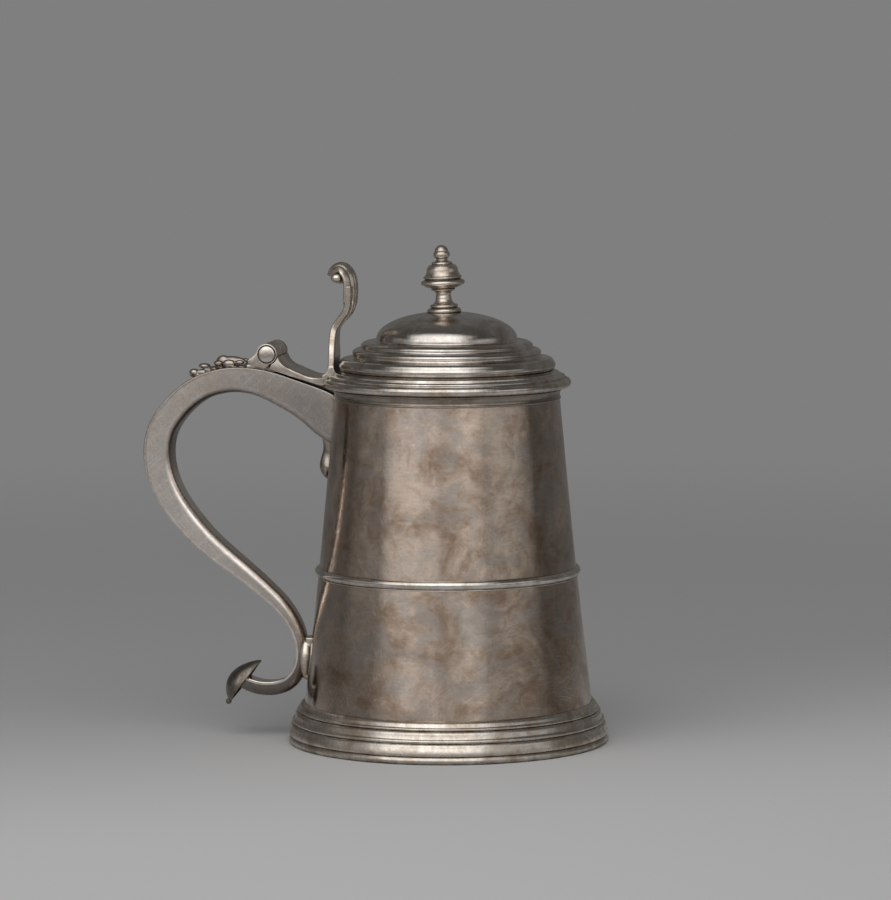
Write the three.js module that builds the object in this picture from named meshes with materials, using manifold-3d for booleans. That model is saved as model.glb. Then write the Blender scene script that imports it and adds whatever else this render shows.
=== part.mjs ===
// A lidded silver tankard: a tapering drum with a scroll handle and a stepped, domed lid on a hinge.
// Millimetres, +Z up, on a table at z = 0. The handle points along -X and the hinge pin lies along Y.

import * as THREE from "three";
import { mergeVertices } from "three/addons/utils/BufferGeometryUtils.js";
import Module from "manifold-3d";

const wasm = await Module();
wasm.setup();

// Facets
const TURNS = 40; // round the drum, foot and lid
const FINIAL_TURNS = 18;
const BARREL_TURNS = 18;
const DRUM_STEPS = 5; // up the drum's side
const HANDLE_STEPS = 42;
const THUMB_STEPS = 24;

// Gaps
const SEAM = 0.05; // solder seam between turned pieces
const FIT_GAP = 0.25; // solder gap where a piece is cut to a round wall

// Drum
const DRUM_BASE_RADIUS = 63.3; // at the lower edge
const DRUM_MOUTH_RADIUS = 48.2;
const DRUM_WAIST = 0.8; // how far the side curves in from a straight cone
const DRUM_WALL = 0.9;
const DRUM_LOW_EDGE = 7.5; // height of the sheet's lower edge above the table
const RIM_HEIGHT = 153.2;
const BOTTOM_THICKNESS = 1.0;
const BOTTOM_RISE = 1.2; // the let-in bottom above the sheet's lower edge

// Foot
const FOOT_SPREAD = 5.9; // past the drum's lower edge
const FOOT_RING_HEIGHT = 3.3;
const FOOT_RING_WIDTH = 2.4;
const FOOT_RING_EDGE = 0.3; // bevel
const FOOT_SHEET = 1.1; // thickness of the swaged foot moulding
const FOOT_TOP = 17.6;

// Bands on the drum
const BAND_HEIGHT = 73.6;
const BAND_WIDTH = 4.0;
const BAND_PROUD = 1.5;
const RIM_BAND_WIDTH = 4.8;
const RIM_BAND_PROUD = 1.5;

// Lid, each radius set in from the one before
const LID_LIFT = 0.3; // the closed lid's flange above the rim
const LID_SHEET = 0.8;
const FLANGE_OVERHANG = 5.2; // past the mouth of the drum
const FLANGE_LAP = 5.2; // inside the mouth
const FLANGE_HEIGHT = 6.4;
const FLANGE_SHEET = 1.3;
const COVER_SETBACK = 6.8;
const COVER_HEIGHT = 7.1;
const STEP_TWO_SETBACK = 6.0;
const STEP_TWO_HEIGHT = 3.1;
const STEP_ONE_SETBACK = 3.5;
const STEP_ONE_HEIGHT = 3.3;
const DOME_SETBACK = 6.8;
const DOME_RISE = 12.4;
const DOME_LIP = 0.8; // upright edge at the foot of the dome
const BEZEL_CLEARANCE = 1.3; // from the drum's inside
const BEZEL_WALL = 1.0;
const BEZEL_DEPTH = 5.0;
const BEZEL_TAPER = 1.0;

// Finial
const FINIAL_HEIGHT = 29.75;
const FINIAL_DISC_RADIUS = 9.5;
const FINIAL_SINK = 1.2; // its lower edge below the top of the dome
const RIVET_RADIUS = 2.0;
const RIVET_GAP = 0.1;
const RIVET_LENGTH = 6;
const WASHER_RADIUS = 5.5;
const WASHER_THICKNESS = 1.2;
const WASHER_GAP = 0.35; // below the dome's crown

// Hinge
const HINGE_STANDOFF = 28.3; // pin from the drum's mouth
const HINGE_RISE = 14.5; // pin above the rim
const KNUCKLE_RADIUS = 4.5;
const PIN_RADIUS = 1.6;
const PIN_CLEARANCE = 0.08;
const HINGE_WIDTH = 25;
const END_KNUCKLE_LENGTH = 5.2;
const LID_KNUCKLE_LENGTH = 4.7;
const KNUCKLE_GAP = 0.3;
const SWING_GAP = 0.35; // round the knuckles that another piece swings past
const CAP_RADIUS = 3.6;
const CAP_SEAT_DEPTH = 1.2;
const CAP_PROUD = 0.6;
const PLATE_WIDTH = 16;
const LEAF_WIDTH = 24.4;

// Ornament on the handle behind the hinge
const DROP_LENGTH = 22;
const DROP_WIDTH = 15; // over the lobes
const DROP_SETBACK = 12.4; // from the pin
const DROP_PLATE = 0.8;

// Handle
const HANDLE_ROOT_WIDTH = 19;
const HANDLE_TIP_WIDTH = 10;
const STRAP_THICKNESS = 1.3;
const STRAP_BEVEL = 0.4;
const CHANNEL_WALL = 1.0;
const CHANNEL_INSET = 0.2; // from the strap's edge
const CHANNEL_ROUND = 3.4; // depth of the rounded inner corners
const TAIL_SINK = 12; // depth of its section, most of it inside the drum
const TAIL_STEPS = 22;
const STRUT_HEIGHT = 35; // middle of the pad between handle and drum
const STRUT_LENGTH = 18;
const STRUT_WIDTH = 11;
const STRUT_REACH = 4.0; // off the drum
const STRUT_ROUND = 2.4;
const TERMINAL_LENGTH = 23.2;
const TERMINAL_WIDTH = 17.2;
const TERMINAL_BULGE = 5.9;
const TERMINAL_SHEET = 1.0;
const TERMINAL_TILT = 37.5; // degrees from upright
const TERMINAL_BUD_RADIUS = 1.2;

// Thumbpiece
const THUMB_THICKNESS = 2.9;
const THUMB_RIDGE = 0.45;
const THUMB_ROLL_RADIUS = 2.0;
const THUMB_ROLL_LENGTH = 14;
const THUMB_ROLL_END = 1.6; // its rounded end

// Places that follow from the sizes above
const FOOT_RADIUS = DRUM_BASE_RADIUS + FOOT_SPREAD;
const FLANGE_UNDERSIDE = RIM_HEIGHT + LID_LIFT;
const FLANGE_RADIUS = DRUM_MOUTH_RADIUS + FLANGE_OVERHANG;
const COVER_UNDERSIDE = FLANGE_UNDERSIDE + FLANGE_HEIGHT + SEAM;
const COVER_RADIUS = FLANGE_RADIUS - COVER_SETBACK;
const STEP_TWO_RADIUS = COVER_RADIUS - STEP_TWO_SETBACK;
const STEP_TWO_FOOT = COVER_UNDERSIDE + COVER_HEIGHT;
const STEP_ONE_RADIUS = STEP_TWO_RADIUS - STEP_ONE_SETBACK;
const STEP_ONE_FOOT = STEP_TWO_FOOT + STEP_TWO_HEIGHT;
const DOME_RADIUS = STEP_ONE_RADIUS - DOME_SETBACK;
const DOME_FOOT = STEP_ONE_FOOT + STEP_ONE_HEIGHT;
const DOME_TOP = DOME_FOOT + DOME_RISE;
const HINGE_X = -(DRUM_MOUTH_RADIUS + HINGE_STANDOFF);
const HINGE_Z = RIM_HEIGHT + HINGE_RISE;

// Outer line of the handle, [out from the drum's mouth, height above the rim, depth of the handle]
const ARCH = [
  [-6.0, -6.2, 19.5],
  [2.6, -1.4, 18.8],
  [14.5, 2.8, 15.1],
  [27.8, 7.0, 12.8],
  [38.6, 8.5, 11.4],
  [49.4, 7.9, 11.0],
  [61.7, 4.0, 11.1],
  [72.9, -4.5, 11.3],
  [81.2, -15.8, 11.7],
  [84.2, -28.2, 12.0],
  [82.1, -41.8, 11.8],
  [74.8, -55.4, 11.0],
  [61.0, -70.7, 9.8],
];
// Its lower end, [out from the drum at the strut, height above the middle of the strut, depth]
const SCROLL = [
  [31.5, 34.5, 7.8],
  [22.6, 27.7, 7.0],
  [15.1, 21.3, 6.2],
  [9.9, 14.7, 5.5],
  [6.8, 7.6, 4.9],
  [6.3, 0.6, 4.7],
  [7.9, -4.8, 5.2],
  [11.3, -8.7, 6.0],
  [16.4, -10.5, 6.2],
  [22.2, -10.5, 6.2],
  [27.4, -9.0, 6.0],
  [30.8, -7.0, 5.6],
];
// Outer line of the tail, [depth below the rim, out from the drum, half width]
const TAIL = [
  [15.5, 9.6, 8.6],
  [19.4, 6.6, 8.0],
  [22.6, 4.6, 5.2],
  [25.4, 3.8, 3.4],
  [28.2, 3.7, 2.7],
  [30.9, 4.3, 3.0],
  [33.6, 4.6, 3.6],
  [35.8, 4.3, 3.7],
  [38.0, 3.3, 3.0],
  [39.4, 2.1, 2.0],
  [40.3, 0.7, 0.7],
];
// Middle of the terminal from the end of the handle's outer line
const TERMINAL_FROM_END = [1.4, -4.1];

// Middle line of the thumbpiece, [in from the flange's edge, height above its underside, width]
const THUMB_LINE = [
  [3.9, 3.4, 17.4],
  [4.1, 8.0, 16.8],
  [4.3, 14.0, 15.4],
  [4.4, 20.4, 12.6],
  [5.2, 25.2, 10.4],
  [7.9, 29.0, 11.8],
  [10.7, 33.0, 16.0],
  [11.8, 38.0, 17.6],
  [11.9, 43.4, 18.2],
  [11.0, 47.8, 18.2],
  [8.4, 50.7, 17.8],
  [5.4, 50.0, 17.0],
  [3.9, 47.4, 16.0],
  [5.0, 45.4, 15.4],
];
// Middle of the roll that the thumbpiece curls round, read as above
const THUMB_ROLL = [7.0, 46.0];

const SHEET = new THREE.MeshStandardMaterial({ color: 0xa3978b, roughness: 0.36, metalness: 1 });
const MOULDING = new THREE.MeshStandardMaterial({ color: 0xb0a79d, roughness: 0.32, metalness: 1 });
const CAST = new THREE.MeshStandardMaterial({ color: 0xafa59b, roughness: 0.38, metalness: 1 });
const PIN = new THREE.MeshStandardMaterial({ color: 0xb8b0a8, roughness: 0.3, metalness: 1 });

const { degToRad, lerp, smoothstep } = THREE.MathUtils;

// A closed three.js geometry as a solid that can be joined and cut
function toSolid(geometry) {
  const bare = geometry.clone();
  bare.deleteAttribute("normal");
  bare.deleteAttribute("uv");
  const merged = mergeVertices(bare, 1e-4);
  return new wasm.Manifold(
    new wasm.Mesh({
      numProp: 3,
      vertProperties: new Float32Array(merged.attributes.position.array),
      triVerts: new Uint32Array(merged.index.array),
    }),
  );
}

function toGeometry(solid) {
  const mesh = solid.getMesh();
  const geometry = new THREE.BufferGeometry();
  geometry.setAttribute("position", new THREE.BufferAttribute(mesh.vertProperties, 3));
  geometry.setIndex(new THREE.BufferAttribute(mesh.triVerts, 1));
  geometry.computeVertexNormals();
  return geometry;
}

const cut = (geometry, ...tools) =>
  toGeometry(tools.reduce((left, tool) => left.subtract(toSolid(tool)), toSolid(geometry)));

const joined = (...pieces) =>
  toGeometry(pieces.slice(1).reduce((all, piece) => all.add(toSolid(piece)), toSolid(pieces[0])));

const pairs = (list) => list.map(([across, up]) => new THREE.Vector2(across, up));

// A [radius, height] outline turned round the Z axis
function turned(outline, turns = TURNS) {
  const points = pairs(outline);
  if (THREE.ShapeUtils.isClockWise(points)) points.reverse();
  const onAxis = points.filter((point) => point.x === 0).length === 2;
  if (onAxis) {
    while (!(points[0].x === 0 && points[points.length - 1].x === 0)) points.push(points.shift());
  } else {
    points.push(points[0].clone());
  }
  return new THREE.LatheGeometry(points, turns).rotateX(Math.PI / 2);
}

// A shape drawn in X and Z, as wide as asked along Y and centred on it
function slab(shape, width) {
  const options = { depth: width, bevelEnabled: false, curveSegments: BARREL_TURNS };
  return new THREE.ExtrudeGeometry(shape, options).rotateX(Math.PI / 2).translate(0, width / 2, 0);
}

// A shape drawn in X and Y, standing up from a height
function upright(shape, low, height) {
  const options = { depth: height, bevelEnabled: false, curveSegments: 6 };
  return new THREE.ExtrudeGeometry(shape, options).translate(0, 0, low);
}

// A cylinder along Y, drawn about the hinge pin
function barrel(radius, length, middleY = 0) {
  return new THREE.CylinderGeometry(radius, radius, length, BARREL_TURNS).translate(0, middleY, 0);
}

// A closed body through rings of points; the flat sections fill its two ends
function loft(rings, firstSection, lastSection) {
  const count = rings[0].length;
  const last = (rings.length - 1) * count;
  const faces = [];
  for (let ring = 0; ring < last; ring += count) {
    for (let i = 0; i < count; i += 1) {
      const a = ring + i;
      const b = ring + ((i + 1) % count);
      faces.push(a, b, a + count, b, b + count, a + count);
    }
  }
  THREE.ShapeUtils.triangulateShape(firstSection, []).forEach(([a, b, c]) => faces.push(a, c, b));
  THREE.ShapeUtils.triangulateShape(lastSection, []).forEach(([a, b, c]) =>
    faces.push(last + a, last + b, last + c),
  );
  const geometry = new THREE.BufferGeometry().setFromPoints(rings.flat());
  geometry.setIndex(faces);
  geometry.computeVertexNormals();
  return geometry;
}

// A section swept down a line in the XZ plane. Its first number runs along Y,
// its second square to the line; the line carries a third value, such as a width or a depth.
function swept(line, steps, sectionAt) {
  const points = line.map(([x, z, size]) => new THREE.Vector3(x, size, z));
  const curve = new THREE.CatmullRomCurve3(points, false, "catmullrom", 0.5);
  const sections = [];
  const rings = [];
  for (let step = 0; step <= steps; step += 1) {
    const at = curve.getPoint(step / steps);
    const along = curve.getTangent(step / steps).setY(0).normalize();
    const inward = new THREE.Vector3(-along.z, 0, along.x);
    const section = sectionAt(at.y, step / steps);
    sections.push(section);
    rings.push(
      section.map(
        (point) => new THREE.Vector3(at.x, 0, at.z).addScaledVector(inward, point.y).setY(point.x),
      ),
    );
  }
  return loft(rings, sections[0], sections[steps]);
}

// Outside radius of the drum at a height
function drumRadius(height) {
  const share = (height - DRUM_LOW_EDGE) / (RIM_HEIGHT - DRUM_LOW_EDGE);
  return lerp(DRUM_BASE_RADIUS, DRUM_MOUTH_RADIUS, share) - DRUM_WAIST * Math.sin(Math.PI * share);
}

// The drum's side as [radius, height] points, offset outwards
function drumSide(from, to, offset, steps) {
  return Array.from({ length: steps + 1 }, (_, i) => {
    const height = lerp(from, to, i / steps);
    return [drumRadius(height) + offset, height];
  });
}

// A [radius, height] point on the outside of the drum, a seam and a share of a band's depth off it
const offDrum = (height, proud) => [drumRadius(height) + SEAM + proud, height];

// The space that the drum and a gap round it take, for cutting what is soldered to its side
function drumSpace(gap) {
  return turned([[0, 0], ...drumSide(0, RIM_HEIGHT, gap, 8), [0, RIM_HEIGHT]]);
}

// The same with the moulding under the mouth, and open above it
function bodySpace(gap) {
  const bandLow = RIM_HEIGHT - RIM_BAND_WIDTH - gap;
  const band = drumRadius(bandLow) + RIM_BAND_PROUD + SEAM + gap;
  const open = RIM_HEIGHT + FLANGE_HEIGHT;
  return turned([[0, 0], ...drumSide(0, bandLow, gap, 8), [band, bandLow], [band, open], [0, open]]);
}

function drumWall() {
  const outside = drumSide(DRUM_LOW_EDGE, RIM_HEIGHT, 0, DRUM_STEPS);
  const inside = drumSide(DRUM_LOW_EDGE, RIM_HEIGHT, -DRUM_WALL, DRUM_STEPS).reverse();
  return turned([...outside, ...inside]);
}

function drumBottom() {
  const low = DRUM_LOW_EDGE + BOTTOM_RISE;
  const high = low + BOTTOM_THICKNESS;
  const edge = (height) => [drumRadius(height) - DRUM_WALL - SEAM, height];
  return turned([[0, low], edge(low), edge(high), [0, high]]);
}

function footRing() {
  const inner = FOOT_RADIUS - FOOT_RING_WIDTH;
  return turned([
    [inner, 0],
    [FOOT_RADIUS - FOOT_RING_EDGE, 0],
    [FOOT_RADIUS, FOOT_RING_EDGE],
    [FOOT_RADIUS, FOOT_RING_HEIGHT - FOOT_RING_EDGE],
    [FOOT_RADIUS - FOOT_RING_EDGE, FOOT_RING_HEIGHT],
    [inner, FOOT_RING_HEIGHT],
  ]);
}

// Three swaged bands, each curving in to a groove, open behind down to the foot ring
function footMoulding() {
  const low = FOOT_RING_HEIGHT + SEAM;
  // a share of the foot's spread set in from its edge, and a share of the moulding's height
  const at = (inset, rise, sheet = 0) => [
    FOOT_RADIUS - inset * FOOT_SPREAD - sheet,
    lerp(low, FOOT_TOP, rise),
  ];
  const lap = lerp(low, FOOT_TOP, 0.74);
  return turned([
    at(0.12, 0),
    at(0.02, 0.06),
    at(0.02, 0.18),
    at(0.15, 0.32),
    at(0.29, 0.37),
    at(0.27, 0.41),
    at(0.31, 0.52),
    at(0.47, 0.65),
    at(0.69, 0.72),
    at(0.68, 0.77),
    at(0.73, 0.86),
    offDrum(lerp(low, FOOT_TOP, 0.97), 0.15 * FOOT_SPREAD),
    offDrum(FOOT_TOP, 0),
    offDrum(lap, 0),
    at(0.73, 0.59, FOOT_SHEET),
    at(0.34, 0.35, FOOT_SHEET),
    at(0.12, 0, FOOT_SHEET),
  ]);
}

// A drawn half-round wire with a fine edge above and below
function midBand() {
  const at = (rise, proud) => offDrum(BAND_HEIGHT + rise * BAND_WIDTH, proud * BAND_PROUD);
  return turned([
    at(-0.5, 0),
    at(-0.47, 0.5),
    at(-0.32, 0.9),
    at(0, 1),
    at(0.32, 0.9),
    at(0.47, 0.5),
    at(0.5, 0),
  ]);
}

// A bead, a hollow and a fillet under the mouth of the drum
function rimMoulding() {
  const at = (fall, proud) => offDrum(RIM_HEIGHT - fall * RIM_BAND_WIDTH, proud * RIM_BAND_PROUD);
  return turned([
    at(1, 0),
    at(0.96, 0.65),
    at(0.83, 0.9),
    at(0.7, 0.65),
    at(0.52, 0.35),
    at(0.3, 0.55),
    at(0.17, 1),
    at(0, 1),
    at(0, 0),
  ]);
}

// Points of the handle's outer line, with its depth as the third value
function handleLine() {
  const arch = ARCH.map(([out, up, depth]) => [-(DRUM_MOUTH_RADIUS + out), RIM_HEIGHT + up, depth]);
  const foot = drumRadius(STRUT_HEIGHT);
  const scroll = SCROLL.map(([out, up, depth]) => [-(foot + out), STRUT_HEIGHT + up, depth]);
  return [...arch, ...scroll];
}

// Height of the top of the handle's arch at an x
function handleTop(x) {
  const line = handleLine();
  const next = line.findIndex(([pointX]) => pointX < x);
  const [fromX, fromZ] = line[next - 1];
  const [toX, toZ] = line[next];
  return lerp(fromZ, toZ, (x - fromX) / (toX - fromX));
}

const handleHalfWidth = (share) =>
  lerp(HANDLE_ROOT_WIDTH, HANDLE_TIP_WIDTH, Math.min(1, share * 1.15)) / 2;

function handleStrap() {
  const strap = swept(handleLine(), HANDLE_STEPS, (_, share) => {
    const half = handleHalfWidth(share);
    return pairs([
      [-half + STRAP_BEVEL, 0],
      [half - STRAP_BEVEL, 0],
      [half, STRAP_BEVEL],
      [half, STRAP_THICKNESS],
      [-half, STRAP_THICKNESS],
      [-half, STRAP_BEVEL],
    ]);
  });
  return cut(strap, bodySpace(FIT_GAP));
}

// One side of the channel's rounded outer face, from its strap edge to the middle
function channelSide(half, depth) {
  const round = Math.min(CHANNEL_ROUND, (depth - STRAP_THICKNESS) * 0.8);
  return [
    [half, depth - round],
    [half * 0.86, depth - round * 0.4],
    [half * 0.5, depth - round * 0.07],
  ];
}

const mirrored = (side) => [...side].reverse().map(([across, deep]) => [-across, deep]);

// The U-shaped inner part of the hollow handle, closed on its outer side by the strap
function handleChannel() {
  const top = STRAP_THICKNESS + SEAM;
  const channel = swept(handleLine(), HANDLE_STEPS, (depth, share) => {
    const half = handleHalfWidth(share) - CHANNEL_INSET;
    const outside = [[half, top], ...channelSide(half, depth)];
    const [corner, , flat] = channelSide(half - CHANNEL_WALL, depth - CHANNEL_WALL);
    const cavity = [
      [half - CHANNEL_WALL, top],
      [corner[0], Math.max(corner[1], top + 4 * SEAM)],
      [flat[0] * 0.8, flat[1]],
    ];
    return pairs([...outside, ...mirrored(outside), ...mirrored(cavity).reverse(), ...cavity.reverse()]);
  });
  return cut(channel, bodySpace(FIT_GAP));
}

// The space that strap and channel take, for cutting what is soldered to the handle
function handleSpace(gap) {
  return swept(handleLine(), HANDLE_STEPS, (depth, share) => {
    const half = handleHalfWidth(share) + gap;
    const outside = [[half, -gap], ...channelSide(half, depth + gap)];
    return pairs([...outside, ...mirrored(outside)]);
  });
}

// The tongue that narrows from the handle's upper joint and ends in a drop on the drum
function handleTail() {
  const line = TAIL.map(([fall, out, half]) => {
    const height = RIM_HEIGHT - fall;
    return [-drumRadius(height) - out, height, half];
  });
  const tongue = swept(line, TAIL_STEPS, (half) => {
    const round = Math.min(half, CHANNEL_ROUND);
    const side = [
      [half, TAIL_SINK],
      [half, round],
      [half * 0.86, round * 0.4],
      [half * 0.5, round * 0.07],
    ];
    return pairs([...mirrored(side).reverse(), ...side.reverse()]);
  });
  return cut(tongue, drumSpace(FIT_GAP), handleSpace(FIT_GAP));
}

// The upright pad that holds the handle's lower bend off the drum
function handleStrut() {
  const inside = -drumRadius(STRUT_HEIGHT) + 2 * DRUM_WALL;
  const round = -drumRadius(STRUT_HEIGHT) - STRUT_REACH + STRUT_ROUND;
  const half = STRUT_WIDTH / 2;
  const shape = new THREE.Shape();
  shape.moveTo(inside, -half);
  shape.lineTo(inside, half);
  shape.lineTo(round, half);
  shape.absarc(round, half - STRUT_ROUND, STRUT_ROUND, Math.PI / 2, Math.PI, false);
  shape.absarc(round, STRUT_ROUND - half, STRUT_ROUND, Math.PI, 1.5 * Math.PI, false);
  shape.closePath();
  const pad = upright(shape, STRUT_HEIGHT - STRUT_LENGTH / 2, STRUT_LENGTH);
  return cut(pad, drumSpace(FIT_GAP), handleSpace(FIT_GAP));
}

// The domed, pointed shell that caps the lower end of the handle
function handleTerminal() {
  const spindle = (inset) => {
    const halfLength = TERMINAL_LENGTH / 2 - 2 * inset;
    const halfWidth = TERMINAL_WIDTH / 2 - inset;
    const side = Array.from({ length: 9 }, (_, i) => {
      const share = i / 4 - 1;
      return [Math.abs(share) === 1 ? 0 : halfWidth * (1 - share * share) ** 0.8, halfLength * share];
    });
    return toSolid(turned(side, 20).scale((2 * TERMINAL_BULGE) / TERMINAL_WIDTH, 1, 1));
  };
  const behind = new THREE.BoxGeometry(TERMINAL_LENGTH, 2 * TERMINAL_WIDTH, 2 * TERMINAL_LENGTH);
  behind.translate(TERMINAL_LENGTH / 2, 0, 0);
  const bud = new THREE.SphereGeometry(TERMINAL_BUD_RADIUS, 12, 8);
  bud.translate(-TERMINAL_BUD_RADIUS / 2, 0, -TERMINAL_LENGTH / 2);
  const shell = spindle(0).subtract(spindle(TERMINAL_SHEET)).subtract(toSolid(behind)).add(toSolid(bud));
  const [endX, endZ] = handleLine().pop();
  const [acrossX, upZ] = TERMINAL_FROM_END;
  return toGeometry(shell)
    .rotateY(degToRad(TERMINAL_TILT))
    .translate(endX + acrossX, 0, endZ + upZ);
}

// The cast ornament on the handle behind the hinge: lobes, then beads down a tapering plate
function hingeDrop() {
  const start = HINGE_X - DROP_SETBACK;
  // all in shares of the ornament's length: its distance out, its half length, half width and
  // half height, and its distance across
  const bead = (out, length, width, height, across = 0) => {
    const x = start - out * DROP_LENGTH;
    return new THREE.SphereGeometry(DROP_LENGTH, 10, 6)
      .scale(length, width, height)
      .translate(x, across * DROP_WIDTH, handleTop(x) + 0.4 * height * DROP_LENGTH);
  };
  const beads = [
    bead(0.2, 0.27, 0.2, 0.2),
    bead(0.1, 0.13, 0.1, 0.11, 0.35),
    bead(0.1, 0.13, 0.1, 0.11, -0.35),
    bead(0.35, 0.12, 0.09, 0.1, 0.28),
    bead(0.35, 0.12, 0.09, 0.1, -0.28),
    bead(0.54, 0.11, 0.15, 0.12),
    bead(0.75, 0.15, 0.1, 0.1),
    bead(0.97, 0.09, 0.09, 0.1),
  ];
  const plan = new THREE.Shape();
  const tip = start - DROP_LENGTH;
  const half = DROP_WIDTH / 3;
  plan.moveTo(start, -half);
  plan.lineTo(start, half);
  plan.quadraticCurveTo(lerp(start, tip, 0.45), half, tip, half / 4);
  plan.lineTo(tip, -half / 4);
  plan.quadraticCurveTo(lerp(start, tip, 0.45), -half, start, -half);
  const block = toSolid(upright(plan, handleTop(tip) - DROP_LENGTH / 4, DROP_LENGTH));
  const plate = block.intersect(toSolid(handleSpace(FIT_GAP + DROP_PLATE)));
  return cut(joined(toGeometry(plate), ...beads), handleSpace(FIT_GAP));
}

// A plate on the strap that carries the handle's knuckles
function hingePlate() {
  const at = (out, up) => [HINGE_X + out * KNUCKLE_RADIUS, HINGE_Z + up * KNUCKLE_RADIUS];
  const shape = new THREE.Shape(
    pairs([at(-2.4, -1.8), at(0.6, -2.05), at(0.6, -1.3), at(-1.6, -1.05), at(-2.4, -1.14)]),
  );
  return cut(slab(shape, PLATE_WIDTH), handleSpace(FIT_GAP));
}

// The pin's hole through a knuckle
function bore() {
  return new THREE.Path().absarc(0, 0, PIN_RADIUS + PIN_CLEARANCE, 0, 2 * Math.PI, true);
}

// A knuckle drawn about the pin, with a wedge-shaped lug down to the plate
function handleKnuckle(length) {
  const at = (out, up) => [out * KNUCKLE_RADIUS, up * KNUCKLE_RADIUS];
  const shape = new THREE.Shape();
  shape.moveTo(...at(-1.8, -0.68));
  shape.lineTo(...at(-1.7, -0.96));
  shape.lineTo(...at(0.36, -1.2));
  shape.absarc(0, 0, KNUCKLE_RADIUS, degToRad(300), degToRad(510), false);
  shape.closePath();
  shape.holes.push(bore());
  return slab(shape, length);
}

function endKnuckle(side) {
  const seat = barrel(CAP_RADIUS + SEAM, 2 * CAP_SEAT_DEPTH, (side * END_KNUCKLE_LENGTH) / 2);
  return cut(handleKnuckle(END_KNUCKLE_LENGTH), seat);
}

function middleKnuckle() {
  return handleKnuckle(HINGE_WIDTH - 2 * (END_KNUCKLE_LENGTH + LID_KNUCKLE_LENGTH + 2 * KNUCKLE_GAP));
}

function lidKnuckle() {
  const shape = new THREE.Shape().absarc(0, 0, KNUCKLE_RADIUS, 0, 2 * Math.PI, false);
  shape.holes.push(bore());
  return slab(shape, LID_KNUCKLE_LENGTH);
}

function hingePin() {
  return barrel(PIN_RADIUS, HINGE_WIDTH - 2 * (CAP_SEAT_DEPTH + SEAM));
}

// A button let into the end of the barrel, a little domed, drawn from the bottom of its seat
function pinCap() {
  const outline = [
    [0, SEAM],
    [CAP_RADIUS, SEAM],
    [CAP_RADIUS, CAP_SEAT_DEPTH],
    [CAP_RADIUS * 0.85, CAP_SEAT_DEPTH + CAP_PROUD * 0.7],
    [CAP_RADIUS * 0.5, CAP_SEAT_DEPTH + CAP_PROUD * 0.95],
    [0, CAP_SEAT_DEPTH + CAP_PROUD],
  ];
  return turned(outline, BARREL_TURNS);
}

// The flange's moulded edge and top as [radius, height], from its underside inwards, offset outwards
function flangeSide(offset) {
  // shares of the setback to the cover and of the flange's height
  const at = (inset, rise) => [
    FLANGE_RADIUS - inset * COVER_SETBACK + offset,
    FLANGE_UNDERSIDE + rise * FLANGE_HEIGHT + Math.min(1, 2 * rise) * offset,
  ];
  return [
    at(0.16, 0),
    at(0.04, 0.13),
    at(0, 0.3),
    at(0.04, 0.47),
    at(0.16, 0.61),
    at(0.34, 0.66),
    at(0.38, 0.73),
    at(0.65, 0.78),
    at(0.72, 0.92),
    at(0.87, 0.95),
  ];
}

function lidFlange() {
  const low = FLANGE_UNDERSIDE;
  const high = low + FLANGE_HEIGHT;
  const inner = DRUM_MOUTH_RADIUS - FLANGE_LAP;
  return turned([
    [inner, low],
    ...flangeSide(0),
    [COVER_RADIUS - 0.6 * LID_SHEET, high],
    [COVER_RADIUS - 2 * LID_SHEET, high],
    [COVER_RADIUS - 1.5 * LID_SHEET, high - FLANGE_SHEET],
    [FLANGE_RADIUS - 0.82 * COVER_SETBACK, high - 1.4 * FLANGE_SHEET],
    [FLANGE_RADIUS - 0.76 * COVER_SETBACK, low + FLANGE_SHEET],
    [inner, low + FLANGE_SHEET],
  ]);
}

// The cover's quarter round and its two steps as [radius, height], up to the foot of the dome
function coverSide() {
  return [
    [COVER_RADIUS, COVER_UNDERSIDE + 0.14 * COVER_HEIGHT],
    [COVER_RADIUS, COVER_UNDERSIDE + 0.5 * COVER_HEIGHT],
    [COVER_RADIUS - 0.18 * STEP_TWO_SETBACK, COVER_UNDERSIDE + 0.76 * COVER_HEIGHT],
    [COVER_RADIUS - 0.53 * STEP_TWO_SETBACK, COVER_UNDERSIDE + 0.93 * COVER_HEIGHT],
    [COVER_RADIUS - 0.97 * STEP_TWO_SETBACK, STEP_TWO_FOOT],
    [STEP_TWO_RADIUS, STEP_TWO_FOOT + 0.3 * STEP_TWO_HEIGHT],
    [STEP_TWO_RADIUS, STEP_TWO_FOOT + 0.7 * STEP_TWO_HEIGHT],
    [STEP_TWO_RADIUS - 0.26 * STEP_ONE_SETBACK, STEP_TWO_FOOT + 0.93 * STEP_TWO_HEIGHT],
    [STEP_TWO_RADIUS - 0.94 * STEP_ONE_SETBACK, STEP_ONE_FOOT],
    [STEP_ONE_RADIUS, STEP_ONE_FOOT + 0.42 * STEP_ONE_HEIGHT],
    [STEP_ONE_RADIUS - 0.16 * DOME_SETBACK, STEP_ONE_FOOT + 0.76 * STEP_ONE_HEIGHT],
    [STEP_ONE_RADIUS - 0.47 * DOME_SETBACK, STEP_ONE_FOOT + 0.94 * STEP_ONE_HEIGHT],
    [STEP_ONE_RADIUS - 0.93 * DOME_SETBACK, DOME_FOOT],
  ];
}

// The dome's outline from its foot to the rivet hole, offset outwards
function domeSide(offset, steps = 6) {
  const foot = DOME_FOOT + DOME_LIP;
  const rise = DOME_RISE - DOME_LIP + offset;
  const side = Array.from({ length: steps }, (_, i) => {
    const angle = (i / steps) * (Math.PI / 2);
    return [(DOME_RADIUS + offset) * Math.cos(angle), foot + rise * Math.sin(angle)];
  });
  return [...side, [RIVET_RADIUS + RIVET_GAP, foot + rise]];
}

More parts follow.
